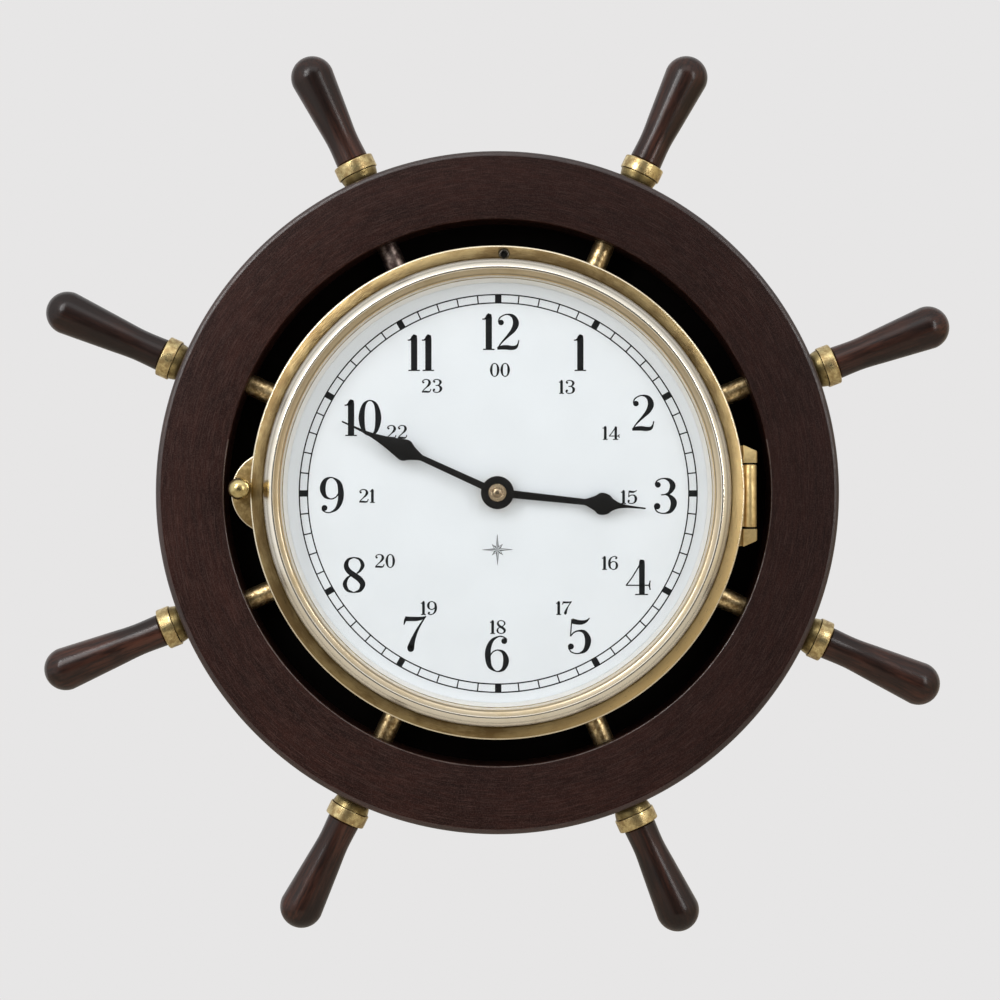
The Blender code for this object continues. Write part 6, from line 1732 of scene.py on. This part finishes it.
@dataclass(frozen=True)
class Hand:
    """One flat spade hand.

    Attributes:
        clockwise: degrees from 12 o'clock at which it rests.
        stem_root: half-width of its stem at the boss.
        stem_end: half-width of its stem at the spade.
    """

    name: str
    node: str
    body: Body
    clockwise: float
    back: float
    length: float
    stem_root: float
    stem_end: float
    spade_start: float
    spade_widest: float
    spade_end: float
    spade_half: float
    post_radius: float
    thickness: float = 0.0005
    boss: float = 0.0061
    edge: float = 0.00012

    def outline(self) -> list[Point]:
        """The hand's outline, pointing up."""
        start = math.degrees(math.acos(self.stem_root / self.boss))
        boss = arc((0.0, 0.0), self.boss, 180 - start, 360 + start, 54)
        begin, widest, end = self.spade_start, self.spade_widest, self.spade_end
        side = [
            (self.stem_end, begin - 0.0012),
            (self.stem_end + 0.0004, begin),
            (self.spade_half * 0.68, (begin + widest) / 2),
            (self.spade_half * 0.94, widest - 0.0012),
            (self.spade_half, widest + 0.0004),
            (self.spade_half * 0.86, widest + 0.0025),
            (self.spade_half * 0.50, (widest + end) / 2 + 0.0006),
            (self.stem_end * 0.72, end),
            (0.00042, (end + self.length) / 2),
            (0.0003, self.length - 0.0003),
        ]
        right = [*eased(side, 5), (0.00018, self.length)]
        return [*boss, *right, *((-x, along) for x, along in reversed(right))]

    def build(self) -> None:
        """Makes the hand."""
        outlines = [self.outline(), arc((0.0, 0.0), self.post_radius, 0, 350, 35)]
        place = FRONT @ turned_by(-self.clockwise)
        form = Form(Finish.HAND).plate(outlines, self.back, self.back + self.thickness, self.edge, place)
        form.piece(self.name, [self.node], self.body)


@dataclass(frozen=True)
class Hands:
    """The two hands and the domed brass nut in front of them.

    Attributes:
        shoulder: the nut's (radius, height) points beyond its button, from the button's foot.
    """

    nut_radius: float = 0.0033
    nut_back: float = 0.0324
    nut_height: float = 0.0019
    nut_hollow: float = 0.0005
    button_radius: float = 0.0018
    button_rise: float = 0.0009
    shoulder: tuple[Point, ...] = (
        (0.0019, -0.0001), (0.0022, 0.0), (0.0026, -0.0003), (0.0031, -0.0007), (0.0033, -0.0009),
    )
    arbor_radius: float = 0.0016
    hour: Hand = Hand(
        "hour_pointer", "hour_hand", Body.HOUR, 96.1, 0.0299, 0.0551,
        0.00145, 0.00115, 0.0336, 0.0388, 0.0462, 0.0041, 0.00253,
    )
    minute: Hand = Hand(
        "minute_pointer", "minute_hand", Body.MINUTE, 294.6, 0.0316, 0.0631,
        0.0013, 0.0011, 0.0320, 0.0376, 0.0517, 0.0040, 0.00163,
    )

    def build(self) -> None:
        """Makes both hands and the nut."""
        self.hour.build()
        self.minute.build()
        front = self.nut_back + self.nut_height
        base = front - self.button_rise
        angles = [math.radians(7.5 * step) for step in range(12)]
        dome = [(self.button_radius * math.cos(a), base + self.button_rise * math.sin(a)) for a in angles]
        back, hollow = self.nut_back, self.nut_back + self.nut_hollow + GAP
        section = [
            (0.0, front), *reversed(dome), *((radius, base + height) for radius, height in self.shoulder),
            (self.nut_radius, back), (self.arbor_radius, back), (self.arbor_radius, hollow), (0.0, hollow),
        ]
        Form(Finish.NUT_BRASS).turned(section, 64).piece("dome_nut", ["hand_nut"], Body.MINUTE)


class Movement:
    """The battery movement inside the case, whose CAD pieces are kept and painted."""

    finishes: dict[Finish, tuple[str, ...]] = {
        Finish.BLACK_PLASTIC: ("movement_case", "movement_cover", "set_knob"),
        Finish.WHITE_PLASTIC: ("minute_wheel", "hour_wheel", "fourth_wheel", "third_wheel"),
        Finish.POLISHED_BRASS: ("centre_wheel", "centre_arbor"),
        Finish.STEEL: ("rotor", "stator", "contact_pos", "contact_neg"),
        Finish.COPPER: ("coil",),
        Finish.CIRCUIT: ("circuit_board",),
        Finish.BATTERY_CARD: ("battery",),
        Finish.RUBBER: ("rubber_washer",),
    }

    def build(self) -> None:
        """Paints each kept CAD piece, in aged brass where nothing else is named."""
        by_name = {name: finish for finish, names in self.finishes.items() for name in names}
        for name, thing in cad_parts.items():
            if thing.hide_render:
                continue
            finish = by_name.get(name, Finish.AGED_BRASS)
            thing.data.materials.clear()
            thing.data.materials.append(material_of(finish))
            LOG.info("%s keeps its CAD shape in %s", name, finish.value.name)


@dataclass(frozen=True)
class Lamp:
    """One softbox that faces the clock.

    Attributes:
        size: its width and height.
        power: watts.
        gloss_only: whether only waxed and polished surfaces show it.
    """

    name: str
    place: Triple
    size: Point
    power: float
    gloss_only: bool = False

    def build(self) -> None:
        """Adds the lamp."""
        data = bpy.data.lights.new(self.name, "AREA")
        data.shape = "RECTANGLE"
        data.size, data.size_y = self.size
        data.energy = self.power
        lamp = placed(self.name, data)
        lamp.location = self.place
        lamp.rotation_euler = (-Vector(self.place)).to_track_quat("-Z", "Y").to_euler()
        lamp.visible_camera = False
        lamp.visible_diffuse = not self.gloss_only


@dataclass(frozen=True)
class Studio:
    """The camera, the soft lamps, the pale surroundings and the floor.

    Attributes:
        camera: a little right of the clock's middle and below it, so that it stands as in the photograph.
        background: linear colour of the pale surroundings.
        fill: level of the light from the camera's side.
        fill_stops: (place, share) pairs of that light, from the camera's side at 0 to the wall's at 1.
        gloss: (place, level) pairs of what metal sees, from the camera's side at 0 to the wall's at 1.
        warm: tint of what metal sees low on the right.
        uneven: how much brighter the upper left is for metal, and how much darker the lower right.
        upper_left: the way to that side.
    """

    camera: Triple = (0.00096, -1.035, -0.00272)
    lens: float = 97.9
    background: Triple = (0.799, 0.791, 0.791)
    fill: float = 1.32
    fill_stops: tuple[Point, ...] = ((0.0, 1.0), (0.45, 0.15), (0.62, 0.24), (1.0, 0.34))
    gloss: tuple[Point, ...] = (
        (0.0, 0.07), (0.03, 0.10), (0.09, 0.64), (0.22, 0.95), (0.50, 0.74), (0.64, 0.45), (0.80, 0.79),
        (1.0, 0.79),
    )
    warm: Triple = (1.0, 0.80, 0.48)
    uneven: float = 0.32
    upper_left: Triple = (-0.45, 0.0, 0.85)
    lamps: tuple[Lamp, ...] = (
        Lamp("top_softbox", (0.0, -0.75, 0.80), (0.8, 0.4), 1.0),
        Lamp("left_strip", (-0.52, -0.64, 0.38), (0.06, 0.46), 1.9),
        Lamp("right_strip", (0.56, -0.62, 0.20), (0.06, 0.46), 0.9),
        Lamp("left_glint", (-0.37, -0.68, 0.45), (0.14, 0.5), 1.4, True),
        Lamp("right_glint", (0.50, -0.70, 0.25), (0.05, 0.5), 0.55, True),
    )
    floor_colour: Triple = (0.87, 0.80, 0.68)
    floor_drop: float = -0.45
    floor_radius: float = 1.2

    def build(self) -> None:
        """Sets everything that isn't the clock."""
        self.build_camera()
        self.build_world()
        for lamp in self.lamps:
            lamp.build()
        self.build_floor()
        bpy.context.scene.view_settings.view_transform = "Standard"

    def build_camera(self) -> None:
        """Sets the camera square to the clock, as in the photograph."""
        data = bpy.data.cameras.new("camera")
        data.lens = self.lens
        data.sensor_width = 36.0
        camera = placed("camera", data)
        camera.location = self.camera
        camera.rotation_euler = (math.radians(90), 0.0, 0.0)
        bpy.context.scene.camera = camera

    def build_world(self) -> None:
        """Sets the surroundings: pale to the camera, soft fill light, and a studio for metal to mirror."""
        world = bpy.data.worlds.new("studio")
        bpy.context.scene.world = world
        world.use_nodes = True
        world.node_tree.nodes.clear()
        nodes = Nodes(world.node_tree)
        rays = nodes.add("LightPath", {}).outputs
        way = nodes.add("TexCoord", {}).outputs["Generated"]
        towards_wall = nodes.add("SeparateXYZ", {"Vector": way}).outputs["Y"]
        back = nodes.span(towards_wall, -1.0, 1.0, smooth=False)
        side = nodes.vector("DOT_PRODUCT", way, self.upper_left)
        tint = nodes.mix(nodes.span(side, -1.0, 0.2, smooth=False), self.warm, (1.0, 1.0, 1.0))
        level = nodes.span(side, -1.0, 1.0, 1.0 - self.uneven, 1.0 + self.uneven, smooth=False)
        tinted = nodes.vector("MULTIPLY", nodes.ramp(back, self.gloss), tint)
        seen = nodes.mix(rays["Is Glossy Ray"], self.background, nodes.vector("MULTIPLY", tinted, level))
        pale = nodes.add("Background", {"Color": seen}).outputs["Background"]
        lit = {"Color": nodes.ramp(back, self.fill_stops), "Strength": self.fill}
        light = nodes.add("Background", lit).outputs["Background"]
        nodes.add("OutputWorld", {"Surface": nodes.blend(rays["Is Diffuse Ray"], pale, light)})

    def build_floor(self) -> None:
        """Adds a pale round floor well below the clock, which fades into the surroundings."""
        mesh = bpy.data.meshes.new("floor")
        shape = bmesh.new()
        bmesh.ops.create_circle(shape, cap_ends=True, segments=96, radius=self.floor_radius)
        bmesh.ops.translate(shape, vec=(0.0, 0.0, self.floor_drop), verts=shape.verts)
        shape.to_mesh(mesh)
        shape.free()
        nodes = Shader("floor_paper", self.floor_colour, 0.9)
        distance = nodes.vector("LENGTH", nodes.vector("MULTIPLY", nodes.place(), (1.0, 1.0, 0.0)))
        away = nodes.span(distance, 0.35 * self.floor_radius, 0.95 * self.floor_radius)
        glow = nodes.add("Emission", {"Color": (*self.background, 1.0)}).outputs["Emission"]
        factor = nodes.maths("MULTIPLY", away, nodes.add("LightPath", {}).outputs["Is Camera Ray"])
        nodes.give_way(factor, glow)
        mesh.materials.append(nodes.material)
        placed("floor", mesh)


def main() -> None:
    """Builds the clock's pieces in order, then the studio."""
    logging.basicConfig(level=logging.INFO, format="%(name)s: %(message)s")
    handles, spokes, hanger = Handles(), Spokes(), Hanger()
    WheelRim().build(handles, spokes, hanger)
    for part in (handles, spokes, hanger, Case(), Door(), Latch(), Dial(), Hands(), Movement(), Studio()):
        part.build()


if __name__ == "__main__":
    main()
